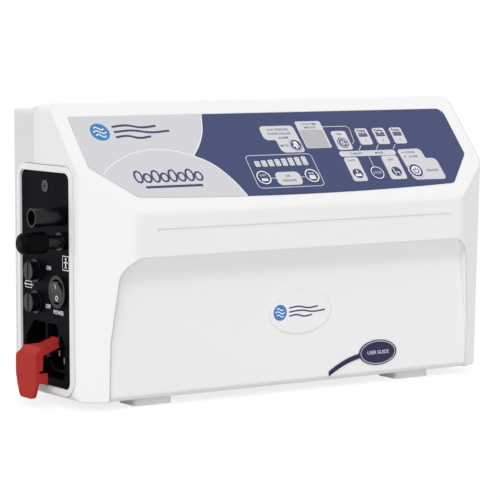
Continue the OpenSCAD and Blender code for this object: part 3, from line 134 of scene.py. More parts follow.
def worked_metal(name, code, roughness, size, depth):
    """Metal with the marks of its making. In mm: the size across a mark, and its depth."""
    material, tree, at = new_material(name)
    marks = put(tree, "TexNoise", {"Vector": at, "Scale": 1000 / size, "Detail": 4})
    tone = put(tree, "Mix", {
        "Factor_Float": marks,
        "A_Color": shade(code, 0.88),
        "B_Color": shade(code, 1.1),
    }, data_type="RGBA")
    relief = put(tree, "Bump", {"Strength": 1, "Distance": depth * MM, "Height": marks})
    dull = put(tree, "MapRange", {
        "Value": marks, "From Min": 0.3, "From Max": 0.7,
        "To Min": roughness - 0.06, "To Max": roughness + 0.08,
    })
    shader = put(tree, "BsdfPrincipled", {
        "Base Color": tone, "Metallic": 1, "Roughness": dull, "Normal": relief,
    })
    put(tree, "OutputMaterial", {"Surface": shader})
    return material


def banded(name, dark, light, pitch, depth, axis, metallic, roughness):
    """Sheets or turns side by side along an axis, pitch in mm, with a dark line between."""
    material, tree, at = new_material(name)
    # At scale 1 the pattern has 20 radians to the metre.
    bands = put(tree, "TexWave", {
        "Vector": at, "Scale": 2 * pi * 1000 / pitch / 20, "Distortion": 0.3, "Detail": 1,
    }, wave_type="BANDS", bands_direction=axis, wave_profile="SIN")
    tone = put(tree, "Mix", {
        "Factor_Float": bands, "A_Color": colour(dark), "B_Color": colour(light),
    }, data_type="RGBA")
    relief = put(tree, "Bump", {"Strength": 1, "Distance": depth * MM, "Height": bands})
    shader = put(tree, "BsdfPrincipled", {
        "Base Color": tone, "Metallic": metallic, "Roughness": roughness, "Normal": relief,
    })
    put(tree, "OutputMaterial", {"Surface": shader})
    return material


# Sand and die marks 1.5 mm across leave the casting soft and slightly grainy.
dress(worked_metal("aluminium_die_cast", "#A7AAB0", 0.48, 1.5, 0.03), "compressor_frame")
# Sheets of 0.5 mm silicon steel, drawn as 6.3 mm so that their edges show as lines.
dress(banded("steel_laminated", "#4A4E57", "#7A7F88", 6.283, 0.05, "Z", 1, 0.45),
      "coil_cores", "armature")
# Turns of 0.6 mm wire under clear varnish, drawn as 7.5 mm, with a wet copper shine.
dress(banded("copper_varnished", "#6E3A18", "#C77B3F", 7.54, 0.25, "Z", 0.6, 0.32),
      "coil_windings")
# Short glass fibres near the skin leave the black nylon dull.
dress(moulded("nylon_glass_filled", "#3A3C42", 0.55, 0.9, 0.02), "compressor_heads")


def soft_rubber(name, code, roughness, grain, depth, **sockets):
    """Moulded rubber: dull and even, with a dusty bloom and a fine matt grain."""
    material, tree, at = new_material(name)
    bloom = put(tree, "TexNoise", {"Vector": at, "Scale": 90, "Detail": 5})
    tone = put(tree, "Mix", {
        "Factor_Float": bloom,
        "A_Color": shade(code, 0.9),
        "B_Color": shade(code, 1.1),
    }, data_type="RGBA")
    grains = put(tree, "TexNoise", {"Vector": at, "Scale": 1000 / grain, "Detail": 2})
    rounded = put(tree, "Bevel", {"Radius": 0.3 * MM}, samples=4)
    skin = put(tree, "Bump", {
        "Strength": 1, "Distance": depth * MM, "Height": grains, "Normal": rounded,
    })
    dull = put(tree, "MapRange", {
        "Value": bloom, "From Min": 0.3, "From Max": 0.7,
        "To Min": roughness - 0.05, "To Max": roughness + 0.05,
    })
    shader = put(tree, "BsdfPrincipled", {
        "Base Color": tone, "Roughness": dull, "Normal": skin, "IOR": 1.52, **sockets,
    })
    put(tree, "OutputMaterial", {"Surface": shader})
    return material


dress(soft_rubber("nitrile_moulded", "#2B2D31", 0.6, 0.8, 0.01), "diaphragms", "rubber_mounts")


# Rotary valve: a small geared motor turns a ported disc in an acetal body, which sends
# air to the two hoses in turn through soft silicone tubes.
# Acetal comes out of its mould waxy, slightly cream and smoother than the casing.
acetal_moulded = moulded("acetal_moulded", "#D6D3C7", 0.34, 0.8, 0.003, ior=1.48)
dress(acetal_moulded, "valve_body", "valve_rotor")
# The motor's can is drawn steel under a bright zinc coat, with a faint mottle 0.8 mm across.
zinc_plated = worked_metal("zinc_plated_steel", "#B9BBBE", 0.3, 0.8, 0.004)
dress(zinc_plated, "valve_motor")
# Silicone tube is milky and lets light into its wall.
dress(soft_rubber("silicone_extruded", "#E4E6E2", 0.35, 1.2, 0.004,
                  **{"Subsurface Weight": 0.4, "Subsurface Scale": 0.002}), "air_tubes")


# Two glass fibre boards with their parts, and the leads between them. The main board is
# screwed to the rear wall and the display board hangs under the console.
def solder_mask(name):
    """Board under green lacquer, with slightly raised lighter tracks round fields of 2 x 1 mm."""
    material, tree, at = new_material(name)
    tracks = put(tree, "TexBrick", {
        "Vector": at, "Scale": 250, "Mortar Size": 0.03, "Mortar Smooth": 0.4,
        "Color1": colour("#2F6B45"), "Color2": colour("#2B6540"), "Mortar": colour("#4C8F63"),
    })
    relief = put(tree, "Bump", {
        "Strength": 1, "Distance": 0.03 * MM, "Height": tracks.outputs["Fac"],
    })
    shader = put(tree, "BsdfPrincipled", {
        "Base Color": tracks, "Roughness": 0.28, "Normal": relief, "IOR": 1.52,
    })
    put(tree, "OutputMaterial", {"Surface": shader})
    return material


def board_parts(name):
    """Capacitor sleeves, connectors and chips: a few colours in blocks about 9 mm wide."""
    material, tree, at = new_material(name)
    blocks = put(tree, "TexVoronoi", {"Vector": at, "Scale": 110, "Randomness": 0.8})
    pick = put(tree, "SeparateColor", {"Color": blocks.outputs["Color"]})
    ramp = put(tree, "ValToRGB", {"Fac": pick})
    ramp.color_ramp.interpolation = "CONSTANT"
    ramp.color_ramp.elements[0].color = colour("#26272B")
    ramp.color_ramp.elements[1].position = 0.45
    ramp.color_ramp.elements[1].color = colour("#3B4A8A")
    ramp.color_ramp.elements.new(0.75).color = colour("#D9D8CF")
    print_grain = put(tree, "TexNoise", {"Vector": at, "Scale": 900, "Detail": 2})
    relief = put(tree, "Bump", {"Strength": 1, "Distance": 0.01 * MM, "Height": print_grain})
    shader = put(tree, "BsdfPrincipled", {
        "Base Color": ramp, "Roughness": 0.42, "Normal": relief, "IOR": 1.5,
    })
    put(tree, "OutputMaterial", {"Surface": shader})
    return material


dress(solder_mask("epoxy_solder_masked"), "main_board", "display_board")
dress(board_parts("board_parts_sleeved"), "board_parts", "display_parts")
# Leads are drawn PVC: even, soft and slightly shiny.
dress(soft_rubber("pvc_extruded", "#7A2F2F", 0.42, 0.9, 0.004), "wiring")


# Rear shell: a deep tray of moulded ABS in a slightly greyer white, with the filter bay and
# the six sunk holes for the long screws that draw the two shells together.
# ABS out of a spark eroded mould has a fine satin grain, 0.15 mm in life and drawn as
# 0.6 mm so that it shows.
rear_white = moulded("abs_moulded_grey_white", "#E3E2E3", 0.42, 0.6, 0.004, 0.8,
                     **{"Specular IOR Level": 0.3})
dress(rear_white, "rear_shell", "hook_brackets", "filter_cover")
dress(zinc_plated, "housing_screws", "hook_pins")
dress(moulded("abs_moulded_hooks", "#DEDDDF", 0.4, 0.6, 0.004, 0.8),
      "bed_hook_left", "bed_hook_right")


def open_foam(name):
    """Open cell filter foam, with pores 1.6 mm wide."""
    material, tree, at = new_material(name)
    cells = put(tree, "TexVoronoi", {"Vector": at, "Scale": 620, "Randomness": 1})
    # The pores are painted darker than the strands, as painted shade in their depth.
    tone = put(tree, "Mix", {
        "Factor_Float": cells, "A_Color": colour("#17181A"), "B_Color": colour("#5C5F65"),
    }, data_type="RGBA")
    relief = put(tree, "Bump", {"Strength": 1, "Distance": 0.8 * MM, "Height": cells})
    shader = put(tree, "BsdfPrincipled", {
        "Base Color": tone, "Roughness": 0.9, "Normal": relief,
    })
    put(tree, "OutputMaterial", {"Surface": shader})
    return material


dress(open_foam("polyurethane_foam_cut"), "filter_foam")


# Front shell: white ABS with the sloped console over a smooth recessed front. It stands on
# four soft feet pushed into its floor.
dress(moulded("abs_moulded_white", "#F3F2F3", 0.38, 0.6, 0.0035, 2,
              **{"Specular IOR Level": 0.3}), "front_shell")
# The feet's off-white rubber is set at full white, brighter than the casing, as painted light
# against the shade under the casing's overhang.
dress(soft_rubber("thermoplastic_rubber_moulded", "#FFFBF8", 0.55, 0.8, 0.01), "feet")


# Console: a printed polyester film lies in a shallow bed on the slope, cut out round the
# keys, the display window and the eight pressure lamps.
slope = radians(49.3)
slope_length = 85 * MM
shell_low, shell_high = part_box("front_shell")
middle = (shell_low.x + shell_high.x) / 2
# The brow, where the slope meets the front, stands 108 mm ahead of the back.
brow_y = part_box("rear_shell")[1].y - 108 * MM
# Print is laid out in mm: x from the middle, and v down the slope from its top edge.
console = Matrix.Translation((middle, brow_y + slope_length * cos(slope), shell_high.z))
console = console @ Matrix.Rotation(slope, 4, "X") @ Matrix.Scale(MM, 4)
# The film and the keys stand out of the slope by so many mm, and the ink lies on them.
FILM = 0.2
KEY = 0.5
INK = 0.03
ON_FILM = FILM + INK


def printed(name, code, roughness=0.4):
    """Ink on the back of a clear film: an even colour with a faint screen fleck under a
    finely textured satin face, 0.5 mm across as drawn."""
    material, tree, at = new_material(name)
    specks = put(tree, "TexNoise", {"Vector": at, "Scale": 1600, "Detail": 2})
    tone = put(tree, "Mix", {
        "Factor_Float": specks,
        "A_Color": shade(code, 0.97),
        "B_Color": shade(code, 1.03),
    }, data_type="RGBA")
    face = put(tree, "TexNoise", {"Vector": at, "Scale": 2000, "Detail": 1})
    skin = put(tree, "Bump", {"Strength": 1, "Distance": 0.002 * MM, "Height": face})
    wipes = put(tree, "TexNoise", {"Vector": at, "Scale": 30, "Detail": 3})
    dull = put(tree, "MapRange", {
        "Value": wipes, "From Min": 0.3, "From Max": 0.7,
        "To Min": roughness - 0.05, "To Max": roughness + 0.05,
    })
    shader = put(tree, "BsdfPrincipled", {
        "Base Color": tone, "Roughness": dull, "Normal": skin, "IOR": 1.57,
        "Specular IOR Level": 0.25,
    })
    put(tree, "OutputMaterial", {"Surface": shader})
    return material


film_navy = printed("polyester_film_navy", "#39436D")
inks = [
    film_navy,
    printed("polyester_film_pale", "#D3D3D8"),
    printed("polyester_film_white", "#F4F4F6"),
    printed("polyester_film_grey", "#D2D2D6"),
    printed("polyester_film_blue", "#3C7FC0"),
]
NAVY, PALE, WHITE, GREY, BLUE = range(5)
dress(film_navy, "console_overlay")


def patch(art, ink, lift, outline, *holes, thick=INK):
    """Prints a filled shape. A point's third number is the rounding of its corner."""
    shape = bmesh.new()
    for loop in (outline, *holes):
        knots = [shape.verts.new((p[0], -p[1], lift)) for p in loop]
        shape.faces.new(knots)
        for knot, point in zip(knots, loop):
            if len(point) > 2:
                bmesh.ops.bevel(shape, geom=[knot], offset=point[2], offset_type="OFFSET",
                                segments=6, profile=0.5, affect="VERTICES", material=-1)
    bmesh.ops.delete(shape, geom=shape.faces[:], context="FACES_ONLY")
    bmesh.ops.triangle_fill(shape, edges=shape.edges[:], use_beauty=True)
    raised = bmesh.ops.extrude_face_region(shape, geom=shape.faces[:])["geom"]
    top = [v for v in raised if isinstance(v, bmesh.types.BMVert)]
    bmesh.ops.translate(shape, verts=top, vec=(0, 0, thick))
    add(art, ink, shape)


def add(art, ink, shape):
    """Joins a finished shape to the artwork, in one ink."""
    bmesh.ops.recalc_face_normals(shape, faces=shape.faces[:])
    for face in shape.faces:
        face.material_index = ink
    mesh = bpy.data.meshes.new("shape")
    shape.to_mesh(mesh)
    shape.free()
    art.from_mesh(mesh)
    bpy.data.meshes.remove(mesh)


def box_shape(x, v, w, h, r):
    """Corners of a rounded rectangle about a point."""
    return [(x - w / 2, v - h / 2, r), (x + w / 2, v - h / 2, r),
            (x + w / 2, v + h / 2, r), (x - w / 2, v + h / 2, r)]


def disc_shape(x, v, r):
    """Corners of a square about a point, rounded until they all but meet in a disc."""
    return box_shape(x, v, 2 * r, 2 * r, 0.999 * r)


def line(art, ink, lift, width, points, bend="VECTOR", closed=False):
    """Prints a line of even width through points, straight or, with bend AUTO, smooth."""
    curve = bpy.data.curves.new("line", "CURVE")
    curve.dimensions = "3D"
    curve.resolution_u = 6
    curve.bevel_depth = width / 2
    curve.bevel_resolution = 2
    curve.use_fill_caps = True
    spline = curve.splines.new("BEZIER")
    spline.bezier_points.add(len(points) - 1)
    spline.use_cyclic_u = closed
    for knot, (x, v) in zip(spline.bezier_points, points):
        knot.co = (x, -v, 0)
        knot.handle_left_type = knot.handle_right_type = bend
    lay_down(art, ink, lift, curve, 2 * INK / width)


def letters(art, ink, lift, height, x, v, words):
    """Prints capitals of a height in mm, centred on a point."""
    text = bpy.data.curves.new("letters", "FONT")
    text.body = words
    # A capital is 0.7 of the font's size, and the offset makes it a little bolder.
    text.size = height / 0.7
    text.align_x = "CENTER"
    text.align_y = "CENTER"
    text.extrude = INK / 2
    text.offset = height * 0.02
    text.resolution_u = 3
    lay_down(art, ink, lift, text, 1, (x, -v))


def lay_down(art, ink, lift, curve, flatten, at=(0, 0)):
    """Makes a curve a mesh, flattens it and joins it to the artwork."""
    holder = bpy.data.objects.new("curve", curve)
    mesh = bpy.data.meshes.new_from_object(holder)
    shape = bmesh.new()
    shape.from_mesh(mesh)
    bmesh.ops.scale(shape, vec=(1, 1, flatten), verts=shape.verts[:])
    bmesh.ops.translate(shape, vec=(*at, lift), verts=shape.verts[:])
    bpy.data.objects.remove(holder)
    bpy.data.curves.remove(curve)
    bpy.data.meshes.remove(mesh)
    add(art, ink, shape)


def place_print(name, art, placement, body):
    """Makes the artwork an object in its place, which rides on its body."""
    mesh = bpy.data.meshes.new(name)
    art.to_mesh(mesh)
    art.free()
    mesh.transform(placement)
    for ink in inks:
        mesh.materials.append(ink)
    piece = bpy.data.objects.new(name, mesh)
    scene.collection.objects.link(piece)
    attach(piece, body)


def ring_points(x, v, r, start=0, turn=360, count=12, squash=1):
    """Points round a circle or part of one, angles in degrees from the right, clockwise."""
    steps = count if turn == 360 else count - 1
    angles = [radians(start + turn * i / steps) for i in range(count)]
    return [(x + r * cos(a), v + squash * r * sin(a)) for a in angles]


def air_sign(art, lift, x, v, r, reach, width, rise, gap):
    """A blue disc with three white waves across it, gap apart. The outer two are shorter."""
    patch(art, BLUE, lift, disc_shape(x, v, r))
    for drop in (-gap, 0, gap):
        end = reach - abs(drop) * 0.5
        line(art, WHITE, lift + INK, width, [
            (x - end, v + drop), (x - reach / 2, v - rise + drop), (x, v + drop),
            (x + reach / 2, v + rise + drop), (x + end, v + drop),
        ], "AUTO")


def wave_lines(art, lift, x, v, width, rise, gap, reaches):
    """Three navy lines that wave away to the right from x, one under another."""
    for reach, drop in zip(reaches, (-gap, 0, gap)):
        line(art, NAVY, lift, width, [
            (x, v + drop), (x + reach * 0.33, v - rise + drop),
            (x + reach * 0.66, v + rise + drop), (x + reach, v + drop),
        ], "AUTO")


art = bmesh.new()
# The grey field at the left has a curved edge with a cusp, drawn by a white line. It runs
# over the film's own edge by 0.15 mm and down beside it, so that no navy shows there.
cusp = (-73.3, 47.5)
upper_edge = [
    (-52.6, 12.1), (-54.9, 18.8), (-57.4, 25.7), (-61.1, 32.5), (-65.9, 39.2), cusp,
]
lower_edge = [
    cusp, (-65.9, 51.6), (-59.4, 56.9), (-54.2, 63.5), (-49.5, 71.3), (-44.9, 82.5),
]
inner_arc = [
    (-147.5, 60), (-140.2, 53.7), (-130.6, 48.3), (-121.5, 44.4), (-111.2, 41.9),
    (-103.2, 41.1), (-93.3, 41.7), (-83.9, 43.7), cusp,
]
skirt = 0.4
patch(art, GREY, FILM - skirt, [
    *lower_edge[1:], (-51.4, 82.39), (-77.1, 81.69), (-102.8, 80.71), (-128.5, 79.45, 2.15),
    (-156.15, 54.1, 2.9), (-156.15, 12.05, 2), *upper_edge,
], thick=skirt + INK)
for edge in (upper_edge, lower_edge, inner_arc):
    line(art, WHITE, ON_FILM, 0.8, edge, "AUTO")
# A sign for moving air, and a mattress whose cells stand high and low in turn.
air_sign(art, ON_FILM, -137, 25.3, 7.2, reach=5, width=0.9, rise=1.2, gap=3)
wave_lines(art, ON_FILM, -126.5, 25.6, width=1.8, rise=1, gap=4.4, reaches=(34, 43, 27))
first_cell, cell_foot, cell_pitch, cell_r = -122.5, 67.8, 6.6, 2.7
for i in range(8):
    tall = 3.4 if i % 2 else 4.6
    x = first_cell + cell_pitch * i
    cell = ring_points(x, cell_foot - tall, cell_r, squash=tall / cell_r)
    line(art, NAVY, ON_FILM, 1.5, cell, "AUTO", closed=True)
line(art, NAVY, ON_FILM, 2, [(-120, 71.9), (-76, 71.9)])

# Light plates behind the legends, with the holes that the keys and the window need.
mute_at, window_at, power_at = (12.9, 41.3), (31.3, 36.3), (104.8, 67.5)
patch(art, PALE, FILM, [
    (-11, 24, 3.5), (17.6, 24.1, 3), (18.7, 47.6, 3), (-1.1, 47.5, 4), (-1.6, 36.3, 1.5),
    (-10.9, 36.4, 4),
], disc_shape(*mute_at, 5.3))
patch(art, PALE, FILM, [
    (20.7, 20.7, 1.5), (42.3, 20.7, 1.5), (42.6, 44.5, 1.5), (21, 44.5, 1.5),
], box_shape(*window_at, 18.8, 15.2, 0.8))
patch(art, PALE, FILM, box_shape(70.5, 50.5, 49, 4.8, 2.2))
patch(art, PALE, FILM, [
    (97, 48.2, 2.5), (117.9, 47.8, 3.5), (118.9, 56.7, 1.2), (127.9, 56.7, 4),
    (128.6, 75.7, 3), (99.6, 75.3, 3.5),
], disc_shape(*power_at, 6.55))
patch(art, PALE, FILM, box_shape(-5.5, 69.5, 20.4, 11.2, 3.6))
# Frames and lines that tie the keys to their legends.
line(art, PALE, FILM, 0.6, [
    (-33, 52.6), (-32.5, 50.4), (-31.1, 49.3), (-29.4, 49), (18, 49), (19.7, 49.3), (21.1, 50.4),
    (21.6, 52.6), (21.6, 73.2), (21.1, 75.4), (19.7, 76.5), (18, 76.8), (-29.4, 76.8),
    (-31.1, 76.5), (-32.5, 75.4), (-33, 73.2),
], closed=True)
line(art, PALE, FILM, 0.6, [
    (42.4, 25.9), (62, 26), (63.7, 26.6), (64.7, 27.8), (64.9, 29.3), (63.6, 38.8),
    (63.1, 40.4), (61.2, 41.6),
])
for tie in (
    [(70, 53.6), (70, 62)], [(-19.6, 68.6), (-15.5, 68.9)], [(4.5, 68.9), (8.2, 68.6)],
    *([(67.9 + 15.1 * i, 43.4), (64.4 + 15 * i, 47.6)] for i in range(3)),
):
    line(art, PALE, FILM, 0.6, tie)
# Legends, each with its height, its place and its words.
for height, x, v, words in (
    (1.8, 3.6, 27.4, "LOW PRESSURE"), (1.8, 3.6, 31, "POWER FAILURE"),
    (1.8, 5.4, 34.6, "ALARM"), (1.8, 3.4, 41.5, "MUTE"),
    (1.7, 31.6, 23.4, "CYCLE TIME"), (1.7, 31.6, 26.4, "MINUTES"),
    (1.8, 60.5, 50.6, "THERAPY"), (1.8, 80.5, 50.6, "MODE"),
    (1.7, 107.4, 51.2, "POWER"), (1.7, 108.6, 54.9, "ALARM"), (2.1, 119.6, 67.8, "ON/OFF"),
    (1.8, -5.5, 67.4, "AIR"), (1.8, -5.5, 71.4, "PRESSURE"),
):
    letters(art, NAVY, ON_FILM, height, x, v, words)
for v in (51.2, 54.9):
    patch(art, NAVY, ON_FILM, disc_shape(101.2, v, 0.6))
place_print("console_print", art, console, "casing")


# Display window and pressure lamps: a grey tinted window lies flush in the film over the
# two digits, and eight acrylic lenses stand in a row that climbs to the right.
def clear_plastic(name, code, roughness):
    """Clear or tinted plastic over a pale ground, polished, with faint ripples 4 mm long."""
    material, tree, at = new_material(name)
    ripple = put(tree, "TexNoise", {"Vector": at, "Scale": 250, "Detail": 1})
    skin = put(tree, "Bump", {"Strength": 1, "Distance": 0.01 * MM, "Height": ripple})
    depth = put(tree, "TexNoise", {"Vector": at, "Scale": 60, "Detail": 2})
    tone = put(tree, "Mix", {
        "Factor_Float": depth,
        "A_Color": shade(code, 0.95),
        "B_Color": shade(code, 1.05),
    }, data_type="RGBA")
    shader = put(tree, "BsdfPrincipled", {
        "Base Color": tone, "Roughness": roughness, "Normal": skin, "IOR": 1.49,
        "Coat Weight": 0.3, "Coat Roughness": 0.08,
    })
    put(tree, "OutputMaterial", {"Surface": shader})
    return material


# The tint is a soft warm grey and takes a clean reflection.
dress(clear_plastic("acrylic_tinted", "#B5B2B7", 0.16), "display_window")
# The lenses are frosted inside, so they look like pale glass.
dress(clear_plastic("acrylic_frosted", "#DEDDE3", 0.22), "pressure_lamps")

# A thin navy frame runs round each lens.
art = bmesh.new()
lamp_pitch, lamp_climb = 5.65, 0.36
for i in range(8):
    x = -25.6 + lamp_pitch * i
    top = 53.8 - lamp_climb * i
    line(art, NAVY, FILM, 0.26, [
        (x + 0.95, 57.4), (x + 0.95, top + 1.6), (x + 0.5, top + 1.1), (x - 0.5, top + 1.1),
        (x - 0.95, top + 1.6), (x - 0.95, 57.4), (x - 0.5, 57.9), (x + 0.5, 57.9),
    ], closed=True)
place_print("lamp_print", art, console, "casing")


# Console keys: each is a printed pad of the same film on a stem that meets its switch. The
# pads stand a little out of the film so that a finger finds them.
key_pale = printed("polyester_film_key", "#D5D5DA", 0.42)
dress(key_pale, "alarm_mute_key", "cycle_time_key", "mode_key_left", "mode_key_centre",
      "mode_key_right", "static_key", "seat_key")
dress(film_navy, "lock_key", "softer_key", "firmer_key")
dress(printed("polyester_film_key_white", "#EDEDF0", 0.42), "power_key")
ON_KEY = KEY + INK


def mattress(art, ink, lift, x, v, heights):
    """A mattress seen from its side: a slab with a row of cells, heights in mm, on it."""
    pitch = 1.25
    width = pitch * len(heights)
    first = x - width / 2 + 0.62
    patch(art, ink, lift, box_shape(x, v, width + 0.5, 0.9, 0.4))
    for i, tall in enumerate(heights):
        patch(art, ink, lift, box_shape(first + pitch * i, v - 0.3 - tall / 2, 1.05, tall, 0.5))


# A bell, struck out.
art = bmesh.new()
x, v = mute_at
patch(art, NAVY, KEY, disc_shape(x, v, 4.4))
patch(art, WHITE, ON_KEY, [
    (x - 2.9, v + 1.5, 0.3), (x - 1.9, v + 0.3, 0.4), (x - 1.8, v - 1.9, 1), (x, v - 3.6, 0.9),
    (x + 1.8, v - 1.9, 1), (x + 1.9, v + 0.3, 0.4), (x + 2.9, v + 1.5, 0.3),
])
patch(art, WHITE, ON_KEY, disc_shape(x, v + 2.3, 0.9))
stroke = [(x - 2.8, v - 2.8), (x + 3, v + 2.6)]
line(art, NAVY, ON_KEY + INK, 1, stroke)
line(art, WHITE, ON_KEY + 2 * INK, 0.5, stroke)
place_print("alarm_mute_print", art, console, "alarm_mute_key")

# A clock's hands in a turning arrow.
art = bmesh.new()
x, v = 53.4, 40.8
letters(art, NAVY, KEY, 1.6, 53.2, 33.2, "TIME")
line(art, NAVY, KEY, 0.8, ring_points(x, v, 4.2, count=16), "AUTO", closed=True)
line(art, NAVY, KEY, 1.2, ring_points(x, v, 2.6, start=20, turn=290), "AUTO")
patch(art, NAVY, KEY, [(x + 1.5, v - 2.2), (x + 3.7, v - 0.2), (x + 1, v + 0.6)])
line(art, NAVY, KEY, 0.6, [(x, v - 1.4), (x, v + 0.3), (x - 1.1, v + 1)])
place_print("cycle_time_print", art, console, "cycle_time_key")

# A body lying on a mattress, whose cells show the mode.
for name, x, number, heights in (
    ("mode_key_left", 73.9, "1", (3.4, 2.2, 3.4, 2.2, 3.4, 2.2)),
    ("mode_key_centre", 89.1, "2", (3.4, 3.4, 2.2, 2.2, 3.4, 3.4)),
    ("mode_key_right", 104.3, "3", (3, 3, 3, 3, 3, 3)),
):
    art = bmesh.new()
    mattress(art, NAVY, KEY, x, 35.6, heights)
    patch(art, NAVY, KEY, disc_shape(x - 3, 30.3, 0.8))
    line(art, NAVY, KEY, 1.1, [(x - 2, 31), (x + 0.6, 30.7), (x + 3.2, 31.2)])
    letters(art, NAVY, KEY, 1.9, x, 39.8, number)
    place_print(name + "_print", art, console, name)

# An arrow down onto an even mattress.
art = bmesh.new()
x = 53.5
letters(art, NAVY, KEY, 1.5, 53.2, 56.6, "STATIC")
patch(art, NAVY, KEY, disc_shape(x, 68, 4.2))
mattress(art, WHITE, ON_KEY, x, 69.9, (1.5, 1.5, 1.5, 1.5))
line(art, WHITE, ON_KEY, 0.7, [(x, 64.6), (x, 66.6)])
patch(art, WHITE, ON_KEY, [(x - 1.1, 66.2), (x + 1.1, 66.2), (x, 67.5)])
place_print("static_print", art, console, "static_key")

art = bmesh.new()
lock_at = (70.4, 68)
line(art, WHITE, KEY, 0.7, ring_points(*lock_at, 5.1, count=16), "AUTO", closed=True)
letters(art, PALE, KEY, 1.9, *lock_at, "LOCK")
place_print("lock_print", art, console, "lock_key")

# A chair.
art = bmesh.new()
letters(art, NAVY, KEY, 1.6, 87.1, 57.2, "SEAT")
patch(art, NAVY, KEY, disc_shape(87.4, 67.6, 4.2))
line(art, WHITE, ON_KEY, 0.9, [(85.4, 64.7), (85.9, 68.2), (89.6, 68.2)])
line(art, WHITE, ON_KEY, 0.6, [(86, 68.2), (86, 70.6)])
line(art, WHITE, ON_KEY, 0.6, [(89.2, 68.2), (89.2, 70.6)])
place_print("seat_print", art, console, "seat_key")

# The open ring and stroke of a standby switch.
art = bmesh.new()
x, v = power_at
patch(art, NAVY, KEY, disc_shape(x, v, 5.6))
patch(art, WHITE, ON_KEY, disc_shape(x, v, 3.9))
line(art, NAVY, ON_KEY + INK, 1, ring_points(x, v + 0.2, 2.1, start=-55, turn=290), "AUTO")
line(art, NAVY, ON_KEY + INK, 1, [(x, v - 2.6), (x, v + 0.1)])
place_print("power_print", art, console, "power_key")

for name, x, words, heights in (
    ("softer", -25.6, "SOFT", (1.5, 1.5, 1.5, 1.5)),
    ("firmer", 14.2, "FIRM", (2.6, 2.6, 2.6, 2.6)),
):
    art = bmesh.new()
    line(art, WHITE, KEY, 0.9, ring_points(x, 68.1, 5.25, count=16), "AUTO", closed=True)
    letters(art, PALE, KEY, 1.6, x, 66.3, words)
    mattress(art, WHITE, KEY, x, 70.6, heights)
    place_print(name + "_print", art, console, name + "_key")


# Front panel: a raised oval badge, left plain but for the sign for moving air, and a dark
# film label with a curved tail. Both are stuck into the smooth recess.
dress(moulded("abs_polished_badge", "#F1F0F1", 0.22, 1.2, 0.001, 0.5), "oval_badge")
label_navy = printed("vinyl_film_navy", "#1E2149", 0.34)
dress(label_navy, "help_label")
front = Matrix.Translation((middle, brow_y, 0)) @ Matrix.Rotation(radians(90), 4, "X")
front = front @ Matrix.Scale(MM, 4)
# On the front, v is the height over the floor with a minus sign. Lifts are measured out
# from the brow, so they are negative in the recess.
BADGE, LABEL = -8.2, -8.4

art = bmesh.new()
air_sign(art, BADGE, -13.9, -56, 5.5, reach=3.8, width=0.7, rise=0.8, gap=2.2)
wave_lines(art, BADGE, -6.4, -56, width=1.1, rise=0.7, gap=2.8, reaches=(24, 30, 19))
place_print("badge_print", art, front, "casing")

art = bmesh.new()
label_at = (69.9, -22.4)
line(art, GREY, LABEL, 0.55, ring_points(*label_at, 14.9, count=16, squash=0.53), "AUTO",
     closed=True)
letters(art, GREY, LABEL, 2.4, *label_at, "USER GUIDE")
place_print("label_print", art, front, "casing")


# Left side: a white moulded frame holds the black connector plate. One cross head screw
# fixes the plate over the hoses' nozzles.
dress(moulded("abs_moulded_frame", "#F3F2F3", 0.36, 0.6, 0.003, 0.8,
              **{"Specular IOR Level": 0.3}), "side_frame")
# Black ABS in a coarser mould grain, 0.4 mm in life and drawn as 0.9 mm, kills most shine.
plate_black = moulded("abs_eroded_black", "#0B0B12", 0.42, 0.9, 0.012, 0.5,
                      **{"Specular IOR Level": 0.02, "Specular Tint": colour("#8E8EC8")})
dress(plate_black, "connector_plate")
dress(zinc_plated, "inlet_screws", "clip_pin")
# The plate's own screw is blackened, and its cross slot catches the light.
dress(worked_metal("steel_blackened", "#4A4B52", 0.3, 0.8, 0.003), "plate_screw")
# On the side, x runs ahead from the front's brow, so it is negative on the pump, and v is
# the height over the floor with a minus sign.
beside = Matrix(((0, 0, -MM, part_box("connector_plate")[0].x), (-MM, 0, 0, brow_y),
                 (0, MM, 0, 0), (0, 0, 0, 1)))


# Connections: two air nozzles, two fuse holders with their caps and a round rocker switch,
# moulded in shiny black nylon, and the mains inlet with its plated brass pins.
gloss_black = moulded("nylon_moulded_black", "#0D0D12", 0.24, 1.2, 0.004, 0.4,
                      **{"Specular IOR Level": 0.25})
dress(gloss_black, "air_nozzle_short", "air_nozzle_long", "fuse_holders", "fuse_cap_upper",
      "fuse_cap_lower", "switch_housing", "switch_rocker")
dress(soft_rubber("silicone_moulded_black", "#050507", 0.36, 1.2, 0.004,
                  **{"Specular IOR Level": 0.04}), "nozzle_cap")
dress(moulded("nylon_moulded_inlet", "#0B0B0E", 0.4, 0.9, 0.006, 0.4,
              **{"Specular IOR Level": 0.05}), "mains_inlet")
# The pins' nickel is set a darker grey than bright nickel: nickel's own grey, darkened further as
# painted shade of the inlet's deep pocket.
dress(worked_metal("brass_nickel_plated", "#8F8E8C", 0.34, 0.8, 0.002), "inlet_pins")


def fuse_glass(name):
    """Drawn glass tube, clear with a faint haze."""
    material, tree, at = new_material(name)
    haze = put(tree, "TexNoise", {"Vector": at, "Scale": 200, "Detail": 2})
    dull = put(tree, "MapRange", {"Value": haze, "To Min": 0.02, "To Max": 0.1})
    shader = put(tree, "BsdfPrincipled", {
        "Base Color": colour("#E6EAEC"), "Roughness": dull, "IOR": 1.5, "Transmission Weight": 0.85,
    })
    put(tree, "OutputMaterial", {"Surface": shader})
    return material


dress(fuse_glass("glass_drawn"), "fuse_upper", "fuse_lower")

art = bmesh.new()
for x, v, words in ((-56.1, -91.3, "ON"), (-57.3, -65.6, "OFF"), (-43.4, -62.8, "POWER")):
    letters(art, WHITE, 0, 2.7, x, v, words)
